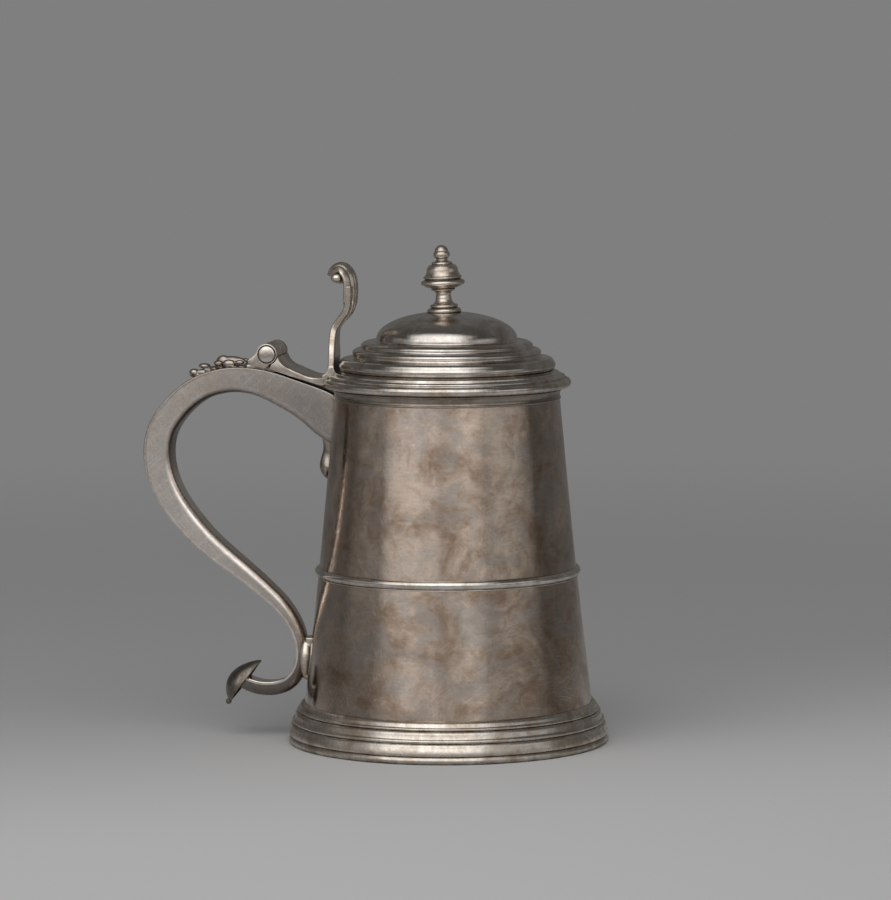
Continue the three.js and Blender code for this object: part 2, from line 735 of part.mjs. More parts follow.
// The raised top of the lid: a quarter round, two steps and a low dome, in sheet of one thickness
function lidCover() {
  const edge = COVER_RADIUS - 0.6 * LID_SHEET;
  const inside = coverSide().map(([radius, height]) => [radius - LID_SHEET, height - LID_SHEET]);
  return turned([
    [edge, COVER_UNDERSIDE],
    ...coverSide(),
    ...domeSide(0),
    ...domeSide(-LID_SHEET).reverse(),
    ...inside.reverse(),
    [edge - LID_SHEET, COVER_UNDERSIDE],
  ]);
}

// The ring under the lid that guides it into the drum
function lidBezel() {
  const radius = DRUM_MOUTH_RADIUS - DRUM_WALL - BEZEL_CLEARANCE;
  const top = FLANGE_UNDERSIDE - SEAM;
  const low = top - BEZEL_DEPTH;
  return turned([
    [radius - BEZEL_WALL, top],
    [radius, top],
    [radius - BEZEL_TAPER, low],
    [radius - BEZEL_TAPER - BEZEL_WALL, low],
  ]);
}

// The dome's outside, closed flat below, for seating the finial on it
function domeSpace() {
  const outside = domeSide(2 * SEAM);
  return turned([[0, DOME_FOOT], [DOME_RADIUS, DOME_FOOT], ...outside, [0, DOME_TOP + 2 * SEAM]]);
}

function finial() {
  const foot = DOME_TOP - FINIAL_SINK;
  // shares of the disc's radius and of the finial's height, from the foot to the ball on top
  const outline = [
    [0, 0],
    [0.88, 0],
    [0.93, 0.07],
    [0.92, 0.11],
    [0.81, 0.14],
    [0.55, 0.17],
    [0.41, 0.22],
    [0.41, 0.29],
    [0.49, 0.33],
    [0.56, 0.36],
    [0.53, 0.38],
    [0.74, 0.41],
    [0.98, 0.44],
    [1, 0.47],
    [0.98, 0.5],
    [0.86, 0.52],
    [0.83, 0.55],
    [0.81, 0.59],
    [0.76, 0.66],
    [0.65, 0.71],
    [0.47, 0.74],
    [0.34, 0.76],
    [0.29, 0.79],
    [0.36, 0.83],
    [0.36, 0.88],
    [0.26, 0.93],
    [0.15, 0.97],
    [0, 1],
  ].map(([radius, rise]) => [radius * FINIAL_DISC_RADIUS, foot + rise * FINIAL_HEIGHT]);
  const body = toSolid(turned(outline, FINIAL_TURNS)).subtract(toSolid(domeSpace()));
  const rivet = new THREE.CylinderGeometry(RIVET_RADIUS, RIVET_RADIUS, RIVET_LENGTH, FINIAL_TURNS)
    .rotateX(Math.PI / 2)
    .translate(0, 0, DOME_TOP - 0.1 * RIVET_LENGTH);
  return toGeometry(body.add(toSolid(rivet)));
}

// The washer inside the dome that the finial's shank is riveted over
function finialWasher() {
  const top = DOME_TOP - LID_SHEET - WASHER_GAP;
  const low = top - WASHER_THICKNESS;
  const bevel = 0.2 * WASHER_THICKNESS;
  return turned(
    [
      [RIVET_RADIUS + RIVET_GAP, top],
      [WASHER_RADIUS, top - bevel / 2],
      [WASHER_RADIUS, low + bevel],
      [WASHER_RADIUS - bevel, low],
      [RIVET_RADIUS + RIVET_GAP, low],
    ],
    FINIAL_TURNS,
  );
}

// Lid flange and cover with a gap round them, for cutting what is soldered on top
function lidSpace(gap) {
  const low = FLANGE_UNDERSIDE - FLANGE_HEIGHT;
  const cover = coverSide().map(([radius, height]) => [radius + gap, height + gap]);
  const top = cover[cover.length - 1][1];
  const edge = FLANGE_RADIUS - 0.16 * COVER_SETBACK;
  return turned([
    [0, low],
    [edge, low],
    ...flangeSide(gap),
    [COVER_RADIUS + gap, COVER_UNDERSIDE + gap],
    ...cover,
    [0, top],
  ]);
}

// Outline of the leaf, from the knuckles to the flange. Its places are shares of the way from the
// pin to the flange's edge and of the pin's height over the flange's underside.
function leafPoint(out, up, rise = 0) {
  const run = -FLANGE_RADIUS - HINGE_X;
  return [HINGE_X + out * run, HINGE_Z + up * (HINGE_Z - FLANGE_UNDERSIDE) + rise];
}

// The leaf's upper line, lifted, over a lower line of the caller's
function leafShape(rise, ...under) {
  const shape = new THREE.Shape();
  shape.moveTo(...leafPoint(0.13, -0.18, rise));
  shape.lineTo(...leafPoint(0.225, -0.06, rise));
  shape.quadraticCurveTo(...leafPoint(0.24, -0.28, rise), ...leafPoint(0.41, -0.41, rise));
  shape.lineTo(...leafPoint(0.65, -0.55, rise));
  shape.quadraticCurveTo(...leafPoint(0.84, -0.67, rise), ...leafPoint(1.04, -0.66, rise));
  shape.lineTo(...leafPoint(1.32, -0.64, rise));
  under.forEach((draw) => draw(shape));
  shape.closePath();
  return shape;
}

// The leaf that joins the lid's knuckles to the flange, a little clear of the strap below it
function lidLeaf() {
  const shape = leafShape(0, (line) => {
    line.lineTo(...leafPoint(1.32, -0.95));
    line.lineTo(...leafPoint(1.05, -0.93));
    line.quadraticCurveTo(...leafPoint(0.61, -0.82), ...leafPoint(0.13, -0.49));
  });
  const swing = barrel(KNUCKLE_RADIUS + SWING_GAP, HINGE_WIDTH).translate(HINGE_X, 0, HINGE_Z);
  return cut(slab(shape, LEAF_WIDTH), swing, lidSpace(FIT_GAP));
}

// The leaf and all that lies under it, for seating the thumbpiece on it
function leafSpace(gap) {
  const shape = leafShape(gap, (line) => {
    line.lineTo(...leafPoint(1.32, -2));
    line.lineTo(...leafPoint(0.13, -2));
  });
  return slab(shape, LEAF_WIDTH + 2 * gap);
}

// A ribbon with ridges down its front that rises from the leaf and curls over a roll
function thumbpiece() {
  const place = ([inwards, up]) => [inwards - FLANGE_RADIUS, FLANGE_UNDERSIDE + up];
  const line = THUMB_LINE.map((point) => [...place(point), point[2]]);
  const ribbon = swept(line, THUMB_STEPS, (width, share) => {
    const half = width / 2;
    const back = (THUMB_THICKNESS / 2) * (1 - 0.35 * share);
    const ridge = THUMB_RIDGE * smoothstep(share, 0.3, 0.5);
    const front = [
      [half, -back + ridge],
      [half * 0.78, -back - ridge],
      [half * 0.56, -back + ridge],
      [half * 0.28, -back - ridge],
    ];
    return pairs([[half, back], [-half, back], ...mirrored(front).reverse(), [0, -back], ...front.reverse()]);
  });
  const flat = THUMB_ROLL_LENGTH / 2;
  const side = [
    [THUMB_ROLL_RADIUS, flat],
    [0.75 * THUMB_ROLL_RADIUS, flat + 0.7 * THUMB_ROLL_END],
    [0, flat + THUMB_ROLL_END],
  ];
  const lower = [...side].reverse().map(([radius, along]) => [radius, -along]);
  const [rollX, rollZ] = place(THUMB_ROLL);
  const roll = turned([...lower, ...side], 16).rotateX(Math.PI / 2).translate(rollX, 0, rollZ);
  return cut(joined(ribbon, roll), leafSpace(FIT_GAP), lidSpace(FIT_GAP));
}

const tankard = new THREE.Group();
const vessel = new THREE.Group();
const hinge = new THREE.Group(); // centred on the pin; the lid turns about it
const lid = new THREE.Group();

function place(group, name, geometry, material, y = 0) {
  const mesh = new THREE.Mesh(geometry, material);
  mesh.name = name;
  mesh.position.y = y;
  group.add(mesh);
  return mesh;
}

place(vessel, "drum_wall", drumWall(), SHEET);
place(vessel, "drum_bottom", drumBottom(), SHEET);
place(vessel, "foot_ring", footRing(), MOULDING);
place(vessel, "foot_moulding", footMoulding(), MOULDING);
place(vessel, "mid_band", midBand(), MOULDING);
place(vessel, "rim_moulding", rimMoulding(), MOULDING);
place(vessel, "handle_strap", handleStrap(), SHEET);
place(vessel, "handle_channel", handleChannel(), SHEET);
place(vessel, "handle_tail", handleTail(), CAST);
place(vessel, "handle_strut", handleStrut(), CAST);
place(vessel, "handle_terminal", handleTerminal(), CAST);
place(vessel, "hinge_drop", hingeDrop(), CAST);
place(vessel, "hinge_plate", hingePlate(), CAST);

const endKnuckleY = (HINGE_WIDTH - END_KNUCKLE_LENGTH) / 2;
const lidKnuckleY = HINGE_WIDTH / 2 - END_KNUCKLE_LENGTH - KNUCKLE_GAP - LID_KNUCKLE_LENGTH / 2;
const capY = HINGE_WIDTH / 2 - CAP_SEAT_DEPTH;
place(hinge, "handle_knuckle_near", endKnuckle(-1), CAST, -endKnuckleY);
place(hinge, "handle_knuckle_middle", middleKnuckle(), CAST);
place(hinge, "handle_knuckle_far", endKnuckle(1), CAST, endKnuckleY);
place(hinge, "hinge_pin", hingePin(), PIN);
place(hinge, "pin_cap_near", pinCap(), PIN, -capY).rotation.x = Math.PI / 2;
place(hinge, "pin_cap_far", pinCap(), PIN, capY).rotation.x = -Math.PI / 2;
place(hinge, "lid_knuckle_near", lidKnuckle(), CAST, -lidKnuckleY);
place(hinge, "lid_knuckle_far", lidKnuckle(), CAST, lidKnuckleY);

place(lid, "lid_cover", lidCover(), SHEET);
place(lid, "lid_flange", lidFlange(), MOULDING);
place(lid, "lid_bezel", lidBezel(), SHEET);
place(lid, "lid_leaf", lidLeaf(), CAST);
place(lid, "thumbpiece", thumbpiece(), CAST);
place(lid, "finial", finial(), CAST);
place(lid, "finial_washer", finialWasher(), CAST);

hinge.position.set(HINGE_X, 0, HINGE_Z);
tankard.add(vessel, hinge, lid);

// The origin is the middle of the footprint, handle and all, so the drum's axis stands off it
const footprint = new THREE.Box3().setFromObject(tankard);
const drumAxisX = -(footprint.min.x + footprint.max.x) / 2;
tankard.children.forEach((group) => {
  group.position.x += drumAxisX;
});

export default tankard;
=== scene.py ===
import math

import bpy
from mathutils import Matrix, Vector


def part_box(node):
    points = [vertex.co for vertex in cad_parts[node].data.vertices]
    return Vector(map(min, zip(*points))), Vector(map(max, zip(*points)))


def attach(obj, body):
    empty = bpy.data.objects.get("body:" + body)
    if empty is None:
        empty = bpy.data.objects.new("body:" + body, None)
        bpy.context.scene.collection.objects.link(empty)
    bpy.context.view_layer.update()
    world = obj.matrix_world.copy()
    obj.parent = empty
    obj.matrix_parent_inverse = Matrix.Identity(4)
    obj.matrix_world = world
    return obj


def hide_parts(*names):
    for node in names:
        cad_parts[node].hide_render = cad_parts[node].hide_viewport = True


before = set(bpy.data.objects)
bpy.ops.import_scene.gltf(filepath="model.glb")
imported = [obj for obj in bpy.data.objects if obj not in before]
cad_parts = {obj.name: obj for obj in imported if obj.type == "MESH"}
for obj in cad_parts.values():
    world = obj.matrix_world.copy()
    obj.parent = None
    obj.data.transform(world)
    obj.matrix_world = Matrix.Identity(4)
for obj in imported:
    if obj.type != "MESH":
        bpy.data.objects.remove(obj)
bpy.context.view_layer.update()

# Lengths are in millimetres, from the drum's axis and from the table, where no comment says metres.
MM = 0.001
AXIS_X = sum(corner[0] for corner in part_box("drum_wall")) / 2

# Steps round turned pieces
TURNS = 160
SMALL_TURNS = 72
TERMINAL_TURNS = 64
CAP_TURNS = 48

# How far pieces reach into the ones they are joined to
LAP = 0.1

# Drum
BASE_RADIUS = 63.3
MOUTH_RADIUS = 48.2
WAIST = 0.8
WALL = 0.9
LOW_EDGE = 7.5
BOTTOM_LIFT = 1.2
RIM_HEIGHT = 153.2
RIM_WIRE = 4.8
LIP_ROUND = 0.25

# Foot
FOOT_RADIUS = 69.19
FOOT_RING_TOP = 3.3
FOOT_LAP = 0.15
FOOT_TOP = 17.6

# Mid band
BAND_HEIGHT = 73.6
BAND_BELOW = 1.9
BAND_ABOVE = 2.4

# Lid
FLANGE_UNDERSIDE = 153.5
FLANGE_RADIUS = 53.4
FLANGE_INSIDE = 43.0
FLANGE_ROUND = 1.5
FLANGE_EDGE = 3.7
COVER_UNDERSIDE = 159.95
COVER_RADIUS = 46.6
STEP_TWO_RADIUS = 40.6
STEP_ONE_RADIUS = 37.1
DOME_RADIUS = 30.3
DOME_FOOT = 174.25
DOME_TOP = 185.85
LID_SHEET = 0.8
BEZEL_PLAY = 1.3
BEZEL_DEPTH = 4.6
FINIAL_SINK = 1.2
FINIAL_LEAN = math.radians(2.4)
FINIAL_SHIFT = 1.0

# Hinge
HINGE_X = -76.5
HINGE_Z = 167.7
KNUCKLE_RADIUS = 4.5
CAP_RADIUS = 3.6
CAP_DEPTH = 1.2
CAP_PLAY = 0.42
PIN_RADIUS = 1.6
SWING_PLAY = 0.35
HINGE_WIDTH = 25.0
PLATE_WIDTH = 15.0
END_KNUCKLE = 5.2
LID_KNUCKLE = 4.7
KNUCKLE_GAP = 0.3
LEAF_WIDTH = 24.4
DROP_START = 12.4

# Handle
ROOT_WIDTH = 19.0
TIP_WIDTH = 10.0
# The handle is down to the tip's width at 1 / NARROWING of its length.
NARROWING = 1.15
STRAP = 1.3
STRAP_LAP = 0.05
CHANNEL_INSET = 0.2
CORNER_ROUND = 3.4
STRUT_HEIGHT = 35.0
STRUT_HALF = 9.0
TERMINAL_LEAN = math.radians(37.0)
TERMINAL_SHEET = 1.0
# Middle of the terminal, from the lower end of the handle's outer line
TERMINAL_PLACE = (1.4, -4.1)

# Outer line of the handle, [out from the mouth's edge, height above the rim, depth]
ARCH = [
    (-14.0, -11.4, 19.0), (-6.0, -6.2, 19.5), (2.6, -1.4, 18.8), (14.5, 2.8, 15.1), (27.8, 7.0, 12.8),
    (38.6, 8.5, 11.4), (49.4, 7.9, 11.0), (61.7, 4.0, 11.1), (72.9, -4.5, 11.3), (81.2, -15.8, 11.7),
    (84.2, -28.2, 12.0), (82.1, -41.8, 11.8), (74.8, -55.4, 11.0), (61.0, -70.7, 9.8),
]
# Its lower end, [out from the drum at the strut, height above the strut's middle, depth]
SCROLL = [
    (31.5, 34.5, 7.8), (22.6, 27.7, 7.0), (15.1, 21.3, 6.2), (9.9, 14.7, 5.5), (6.8, 7.6, 4.9),
    (6.3, 0.6, 4.7), (7.9, -4.8, 5.2), (11.3, -8.7, 6.0), (16.4, -10.5, 6.2), (22.2, -10.5, 6.2),
    (27.4, -9.0, 6.0), (30.8, -7.0, 5.6),
]
# Outer line of the tail below the handle's root, [depth below the rim, out from the drum, half width]
TAIL = [
    (13.0, 11.0, 8.6), (15.5, 9.6, 8.6), (19.4, 6.6, 8.0), (22.6, 4.6, 5.2), (25.4, 3.8, 3.4),
    (28.2, 3.7, 2.7), (30.9, 4.3, 3.0), (33.6, 4.6, 3.6), (35.8, 4.3, 3.7), (38.0, 3.3, 3.0),
    (39.4, 2.1, 2.0), (40.3, 0.7, 0.7),
]
# Middle line of the thumbpiece, [in from the flange's edge, height above its underside, width]
THUMB_LINE = [
    (4.2, 4.4, 17.4), (4.1, 8.0, 16.8), (4.3, 14.0, 15.4), (4.4, 20.4, 12.6), (5.2, 25.2, 10.4),
    (7.9, 29.0, 11.8), (10.7, 33.0, 16.0), (11.8, 38.0, 17.6), (11.9, 43.4, 18.2), (11.0, 47.8, 18.2),
    (8.4, 50.7, 17.8), (5.4, 50.0, 17.0), (3.9, 47.4, 16.0), (5.0, 45.4, 15.4),
]
# Middle of the roll that it curls round, measured in the same way
THUMB_ROLL = (6.6, 46.2)
THUMB_THICKNESS = 2.8
THUMB_STEPS = 5
RIDGE = 0.45

# Camera, fitted to the photograph
CAMERA_TURN = math.radians(9.0)
CAMERA_DISTANCE = 2050.0
CAMERA_HEIGHT = 330.0
LOOK_HEIGHT = 125.0
CAMERA_ROLL = math.radians(0.25)
LENS = 191.33
SENSOR = 36.0
SHIFT = (-0.00194, 0.00262)
CLIP_END = 200.0


def at(x, y, z):
    """A place in millimetres from the drum's axis, in the frame's metres."""
    return Vector((AXIS_X + x * MM, y * MM, z * MM))


def drum_radius(height):
    """The drum's outer radius at a height: a cone, a little drawn in at its waist."""
    share = (height - LOW_EDGE) / (RIM_HEIGHT - LOW_EDGE)
    cone = BASE_RADIUS + (MOUTH_RADIUS - BASE_RADIUS) * share
    return cone - WAIST * math.sin(math.pi * share)


def drum_side(low, high, offset=0.0, steps=24):
    """The drum's side as (radius, height) points."""
    heights = [low + (high - low) * i / steps for i in range(steps + 1)]
    return [(drum_radius(height) + offset, height) for height in heights]


def bow(start, end, rise, steps=8):
    """Points on an arc after start, up to end; a positive rise bulges to the right of the way."""
    (x0, y0), (x1, y1) = start, end
    half = math.hypot(x1 - x0, y1 - y0) / 2
    spread = 2 * math.atan2(rise, half)
    radius = half / math.sin(spread)
    across = ((x1 - x0) / (2 * half), (y1 - y0) / (2 * half))
    right = (across[1], -across[0])
    points = []
    for i in range(1, steps + 1):
        angle = spread * (2 * i / steps - 1)
        along = radius * math.sin(angle)
        out = radius * (math.cos(angle) - math.cos(spread))
        points.append((
            (x0 + x1) / 2 + along * across[0] + out * right[0],
            (y0 + y1) / 2 + along * across[1] + out * right[1],
        ))
    return points


def path(*points):
    """Points in a row. One that comes with a rise and a number of steps is reached by an arc."""
    found, last = [], None
    for x, y, *arc in points:
        found += bow(last, (x, y), *arc) if arc else [(x, y)]
        last = (x, y)
    return found


def smooth_line(points, steps):
    """A line through points, with a number of steps from each to the next."""
    first = [2 * a - b for a, b in zip(points[0], points[1])]
    last = [2 * a - b for a, b in zip(points[-1], points[-2])]
    line = [first, *points, last]
    found = []
    for k in range(1, len(line) - 2):
        for i in range(steps):
            t = i / steps
            found.append(tuple(
                0.5 * (2 * b + (c - a) * t + (2 * a - 5 * b + 4 * c - d) * t ** 2
                       + (3 * b - a - 3 * c + d) * t ** 3)
                for a, b, c, d in zip(*line[k - 1:k + 3])
            ))
    return found + [tuple(points[-1])]


# ---- Making meshes ----


def only(*pieces):
    """Selects these pieces alone, the first as the active one."""
    bpy.ops.object.select_all(action="DESELECT")
    for piece in pieces:
        piece.select_set(True)
    bpy.context.view_layer.objects.active = pieces[0]


def edit(piece):
    """Opens a piece's mesh, with all of it selected."""
    only(piece)
    bpy.ops.object.mode_set(mode="EDIT")
    bpy.ops.mesh.select_all(action="SELECT")


def leave():
    bpy.ops.object.mode_set(mode="OBJECT")


def turn(angle, axis, centre):
    """Turns what is selected, counter-clockwise as seen from the axis's end."""
    bpy.ops.transform.rotate(value=-angle, orient_axis=axis, center_override=centre)


def drawn(name, points):
    """An outline drawn from one point by extruding it step by step."""
    bpy.ops.object.select_all(action="DESELECT")
    bpy.ops.mesh.primitive_plane_add(size=MM)
    piece = bpy.context.object
    piece.name = name
    edit(piece)
    bpy.ops.mesh.merge(type="CENTER")
    bpy.ops.transform.translate(value=points[0])
    for before, after in zip(points, points[1:]):
        bpy.ops.mesh.extrude_vertices_move(TRANSFORM_OT_translate={"value": after - before})
    return piece


def close_mesh():
    """Merges doubles and points the faces outwards."""
    bpy.ops.mesh.select_all(action="SELECT")
    bpy.ops.mesh.remove_doubles(threshold=0.002 * MM)
    bpy.ops.mesh.normals_make_consistent(inside=False)


def turned(name, outline, turns=TURNS):
    """A (radius, height) outline turned round the drum's axis. An outline off the axis is closed."""
    loop = list(outline)
    if loop[0][0] > 0 or loop[-1][0] > 0:
        loop.append(loop[0])
    piece = drawn(name, [at(radius, 0, height) for radius, height in loop])
    bpy.ops.mesh.select_all(action="SELECT")
    bpy.ops.mesh.spin(
        steps=turns, angle=2 * math.pi, center=at(0, 0, 0), axis=(0, 0, 1), use_auto_merge=True
    )
    close_mesh()
    leave()
    return piece


def slab(name, outline, width, middle=0.0):
    """An (x, z) outline filled and extruded along Y."""
    piece = drawn(name, [at(x, middle - width / 2, z) for x, z in outline])
    bpy.ops.mesh.select_all(action="SELECT")
    bpy.ops.mesh.edge_face_add()
    bpy.ops.mesh.extrude_region_move(TRANSFORM_OT_translate={"value": (0, width * MM, 0)})
    close_mesh()
    leave()
    return piece


def upright(name, outline, low, high):
    """An (x, y) outline filled and extruded upwards."""
    piece = drawn(name, [at(x, y, low) for x, y in outline])
    bpy.ops.mesh.select_all(action="SELECT")
    bpy.ops.mesh.edge_face_add()
    bpy.ops.mesh.extrude_region_move(TRANSFORM_OT_translate={"value": (0, 0, (high - low) * MM)})
    close_mesh()
    leave()
    return piece


def swept(name, stations, section, marked=()):
    """A section extruded from station to station.

    A station is (x, z, half width, depth). The section's points are shares of them, across and
    inwards from the line. Each point whose number is in marked gets a vertex group of its own.
    """
    places = [at(x, 0, z) for x, z, _, _ in stations]
    ways = [(places[min(i + 1, len(places) - 1)] - places[max(i - 1, 0)]).normalized()
            for i in range(len(places))]
    _, _, half, depth = stations[0]
    inward = Vector((-ways[0].z, 0, ways[0].x))
    corners = [
        places[0] + inward * (deep * depth * MM) + Vector((0, across * half * MM, 0))
        for across, deep in section
    ]
    piece = drawn(name, corners)
    leave()
    for number in marked:
        nearest = min(piece.data.vertices, key=lambda vertex: (vertex.co - corners[number]).length)
        piece.vertex_groups.new(name=f"edge_{number}").add([nearest.index], 1.0, "REPLACE")
    edit(piece)
    bpy.ops.mesh.edge_face_add()
    bpy.ops.mesh.select_all(action="SELECT")
    for k in range(1, len(places)):
        bpy.ops.mesh.extrude_region_move(TRANSFORM_OT_translate={"value": places[k] - places[k - 1]})
        bend = math.atan2(ways[k - 1].x * ways[k].z - ways[k - 1].z * ways[k].x, ways[k - 1].dot(ways[k]))
        turn(-bend, "Y", places[k])
        deeper = stations[k][3] / stations[k - 1][3]
        wider = stations[k][2] / stations[k - 1][2]
        bpy.ops.transform.resize(value=(deeper, wider, deeper), center_override=places[k])
    close_mesh()
    leave()
    return piece


def modify(piece, kind, **settings):
    """Adds a modifier, sets it and applies it."""
    only(piece)
    modifier = piece.modifiers.new(kind.lower(), kind)
    for name, value in settings.items():
        setattr(modifier, name, value)
    bpy.ops.object.modifier_apply(modifier=modifier.name)


def cut(piece, *tools):
    """Cuts shapes out of a piece and drops them."""
    for tool in tools:
        modify(piece, "BOOLEAN", operation="DIFFERENCE", object=tool, solver="EXACT")
    for tool in tools:
        bpy.data.objects.remove(tool, do_unlink=True)


def join(name, first, *others):
    """Joins pieces to the first one, which gets the name."""
    only(first, *others)
    bpy.ops.object.join()
    first.name = name
    return first


def soften(piece, width, segments=2, angle=40.0):
    """Breaks the sharp edges."""
    modify(piece, "BEVEL", width=width * MM, segments=segments, limit_method="ANGLE",
           angle_limit=math.radians(angle))


def cast(piece, grain=0.2, smooth=2):
    """Melts joined shapes into one casting."""
    modify(piece, "REMESH", mode="VOXEL", voxel_size=grain * MM, adaptivity=0.0)
    modify(piece, "SMOOTH", factor=0.5, iterations=smooth)


def ball(name, place, radii, segments=24):
    """A ball of three radii, for melting into a casting."""
    bpy.ops.object.select_all(action="DESELECT")
    bpy.ops.mesh.primitive_uv_sphere_add(segments=segments, ring_count=segments // 2, radius=MM)
    piece = bpy.context.object
    piece.name = name
    edit(piece)
    bpy.ops.transform.resize(value=radii, center_override=(0, 0, 0))
    bpy.ops.transform.translate(value=place)
    leave()
    return piece


def finish(piece, body, material, slot, *nodes, smooth=35.0):
    """Hands a piece to the frame with its finish."""
    piece.data.materials.clear()
    piece.data.materials.append(material)
    only(piece)
    bpy.ops.object.shade_smooth_by_angle(angle=math.radians(smooth))
    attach(piece, body)
    if nodes:
        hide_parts(*nodes)


# ---- Finishes ----

COLOUR = "NodeSocketColor"
VALUE = "NodeSocketFloat"
VECTOR = "NodeSocketVector"

# Colours that darken or lighten the silver by multiplying it, and the dark tarnish in its hollows, which
# also serves as painted shade
STREAKED = (0.80, 0.78, 0.76, 1)
SPOTTED = (0.62, 0.56, 0.50, 1)
RUBBED = (1.16, 1.14, 1.12, 1)
DIRT_AND_SHADE_COLOUR = (0.045, 0.034, 0.027, 1)

# Where shade is painted on the handle: its root and its lower curl, in the frame's metres, and its inner
# side
ROOT_SHADE_SPAN = (-0.080, -0.025)
CURL_SHADE_SPAN = (0.028, 0.062)
INNER_SIDE = (0.6, 0.0, -0.8)


def put(tree, kind, inputs=None, **settings):
    """A new node. An input is linked where its value is another node's socket."""
    made = tree.nodes.new(kind)
    for name, value in settings.items():
        setattr(made, name, value)
    for name, value in (inputs or {}).items():
        if isinstance(value, bpy.types.NodeSocket):
            tree.links.new(value, made.inputs[name])
        else:
            made.inputs[name].default_value = value
    return made


def mixed(tree, share, first, second, way="MIX"):
    """The colour between two, by a share."""
    made = put(tree, "ShaderNodeMix", {0: share, 6: first, 7: second}, data_type="RGBA", blend_type=way)
    return made.outputs[2]


def ranged(tree, value, low, high, to_low=0.0, to_high=1.0, way="LINEAR"):
    """A value carried from one range to another and held inside it."""
    inputs = {"Value": value, "From Min": low, "From Max": high, "To Min": to_low, "To Max": to_high}
    return put(tree, "ShaderNodeMapRange", inputs, interpolation_type=way).outputs["Result"]


def stretched(tree, place, scale):
    """A place with its pattern drawn out or pressed together along the axes."""
    return put(tree, "ShaderNodeMapping", {"Vector": place, "Scale": scale}).outputs["Vector"]


def measured(tree, way, first, second=(0.0, 0.0, 0.0)):
    """A number got from one vector or from two."""
    made = put(tree, "ShaderNodeVectorMath", {0: first, 1: second}, operation=way)
    return made.outputs["Value"]


def sums(tree, way, *values):
    """One step of arithmetic."""
    made = put(tree, "ShaderNodeMath", dict(enumerate(values)), operation=way)
    return made.outputs["Value"]


def times(tree, first, second):
    return sums(tree, "MULTIPLY", first, second)


def noise(tree, place, scale, detail=3.0, roughness=0.5, distortion=0.0):
    """Clouded noise about 0.5."""
    inputs = {"Vector": place, "Scale": scale, "Detail": detail, "Roughness": roughness,
              "Distortion": distortion}
    return put(tree, "ShaderNodeTexNoise", inputs).outputs["Fac"]


def group(name, inputs, outputs):
    """A node group: its tree, what it is given and what it gives."""
    tree = bpy.data.node_groups.new(name, "ShaderNodeTree")
    for label, kind in inputs.items():
        tree.interface.new_socket(name=label, in_out="INPUT", socket_type=kind)
    for label, kind in outputs.items():
        tree.interface.new_socket(name=label, in_out="OUTPUT", socket_type=kind)
    return tree, tree.nodes.new("NodeGroupInput").outputs, tree.nodes.new("NodeGroupOutput").inputs


def clouded_tarnish():
    """Brown and grey clouds over old silver, with ragged edges, fine streaks and darker spots."""
    tree, given, out = group(
        "clouded_tarnish",
        {"Place": VECTOR, "Clear": COLOUR, "Brown": COLOUR, "Grey": COLOUR, "Cloud Size": VALUE,
         "Spots": VALUE},
        {"Colour": COLOUR, "Cloud": VALUE},
    )
    scale = sums(tree, "DIVIDE", 1.0, given["Cloud Size"])
    broad = noise(tree, given["Place"], scale, 5.0, 0.62, 0.9)
    small = noise(tree, given["Place"], times(tree, scale, 4.3), 5.0, 0.65, 0.5)
    cloud = ranged(tree, sums(tree, "ADD", times(tree, broad, 0.68), times(tree, small, 0.32)), 0.43, 0.60)
    cool = ranged(tree, noise(tree, given["Place"], times(tree, scale, 1.6), 4.0, 0.6, 1.1), 0.47, 0.62)
    flat = stretched(tree, given["Place"], (1, 1, 4.5))
    streak = ranged(tree, noise(tree, flat, times(tree, scale, 5.0), 4.0, 0.7, 0.3), 0.35, 0.65)
    colour = mixed(tree, cloud, given["Clear"], given["Brown"])
    colour = mixed(tree, times(tree, cool, 0.6), colour, given["Grey"])
    shade = mixed(tree, 1.0, colour, STREAKED, "MULTIPLY")
    colour = mixed(tree, times(tree, streak, 0.55), colour, shade)
    speck = ranged(tree, noise(tree, given["Place"], times(tree, scale, 22.0), 2.0, 0.5), 0.64, 0.74)
    dark = mixed(tree, 1.0, colour, SPOTTED, "MULTIPLY")
    colour = mixed(tree, times(tree, speck, given["Spots"]), colour, dark)
    tree.links.new(colour, out["Colour"])
    tree.links.new(cloud, out["Cloud"])
    return tree


def wiped_scratches():
    """Rubbing marks in three directions."""
    tree, given, out = group(
        "wiped_scratches", {"Place": VECTOR, "Fineness": VALUE}, {"Marks": VALUE}
    )
    fine = put(tree, "ShaderNodeVectorMath", {0: given["Place"], "Scale": given["Fineness"]},
               operation="SCALE").outputs["Vector"]
    marks = None
    for tilt, stretch in ((0.65, (1, 1, 22)), (-0.75, (1, 1, 26)), (1.5, (1, 1, 20))):
        leaning = put(tree, "ShaderNodeMapping", {"Vector": fine, "Rotation": (tilt, tilt, 0)})
        drawn_out = stretched(tree, leaning.outputs["Vector"], stretch)
        lines = ranged(tree, noise(tree, drawn_out, 1.0, 3.0, 0.7), 0.54, 0.72)
        marks = lines if marks is None else sums(tree, "MAXIMUM", marks, lines)
    tree.links.new(marks, out["Marks"])
    return tree


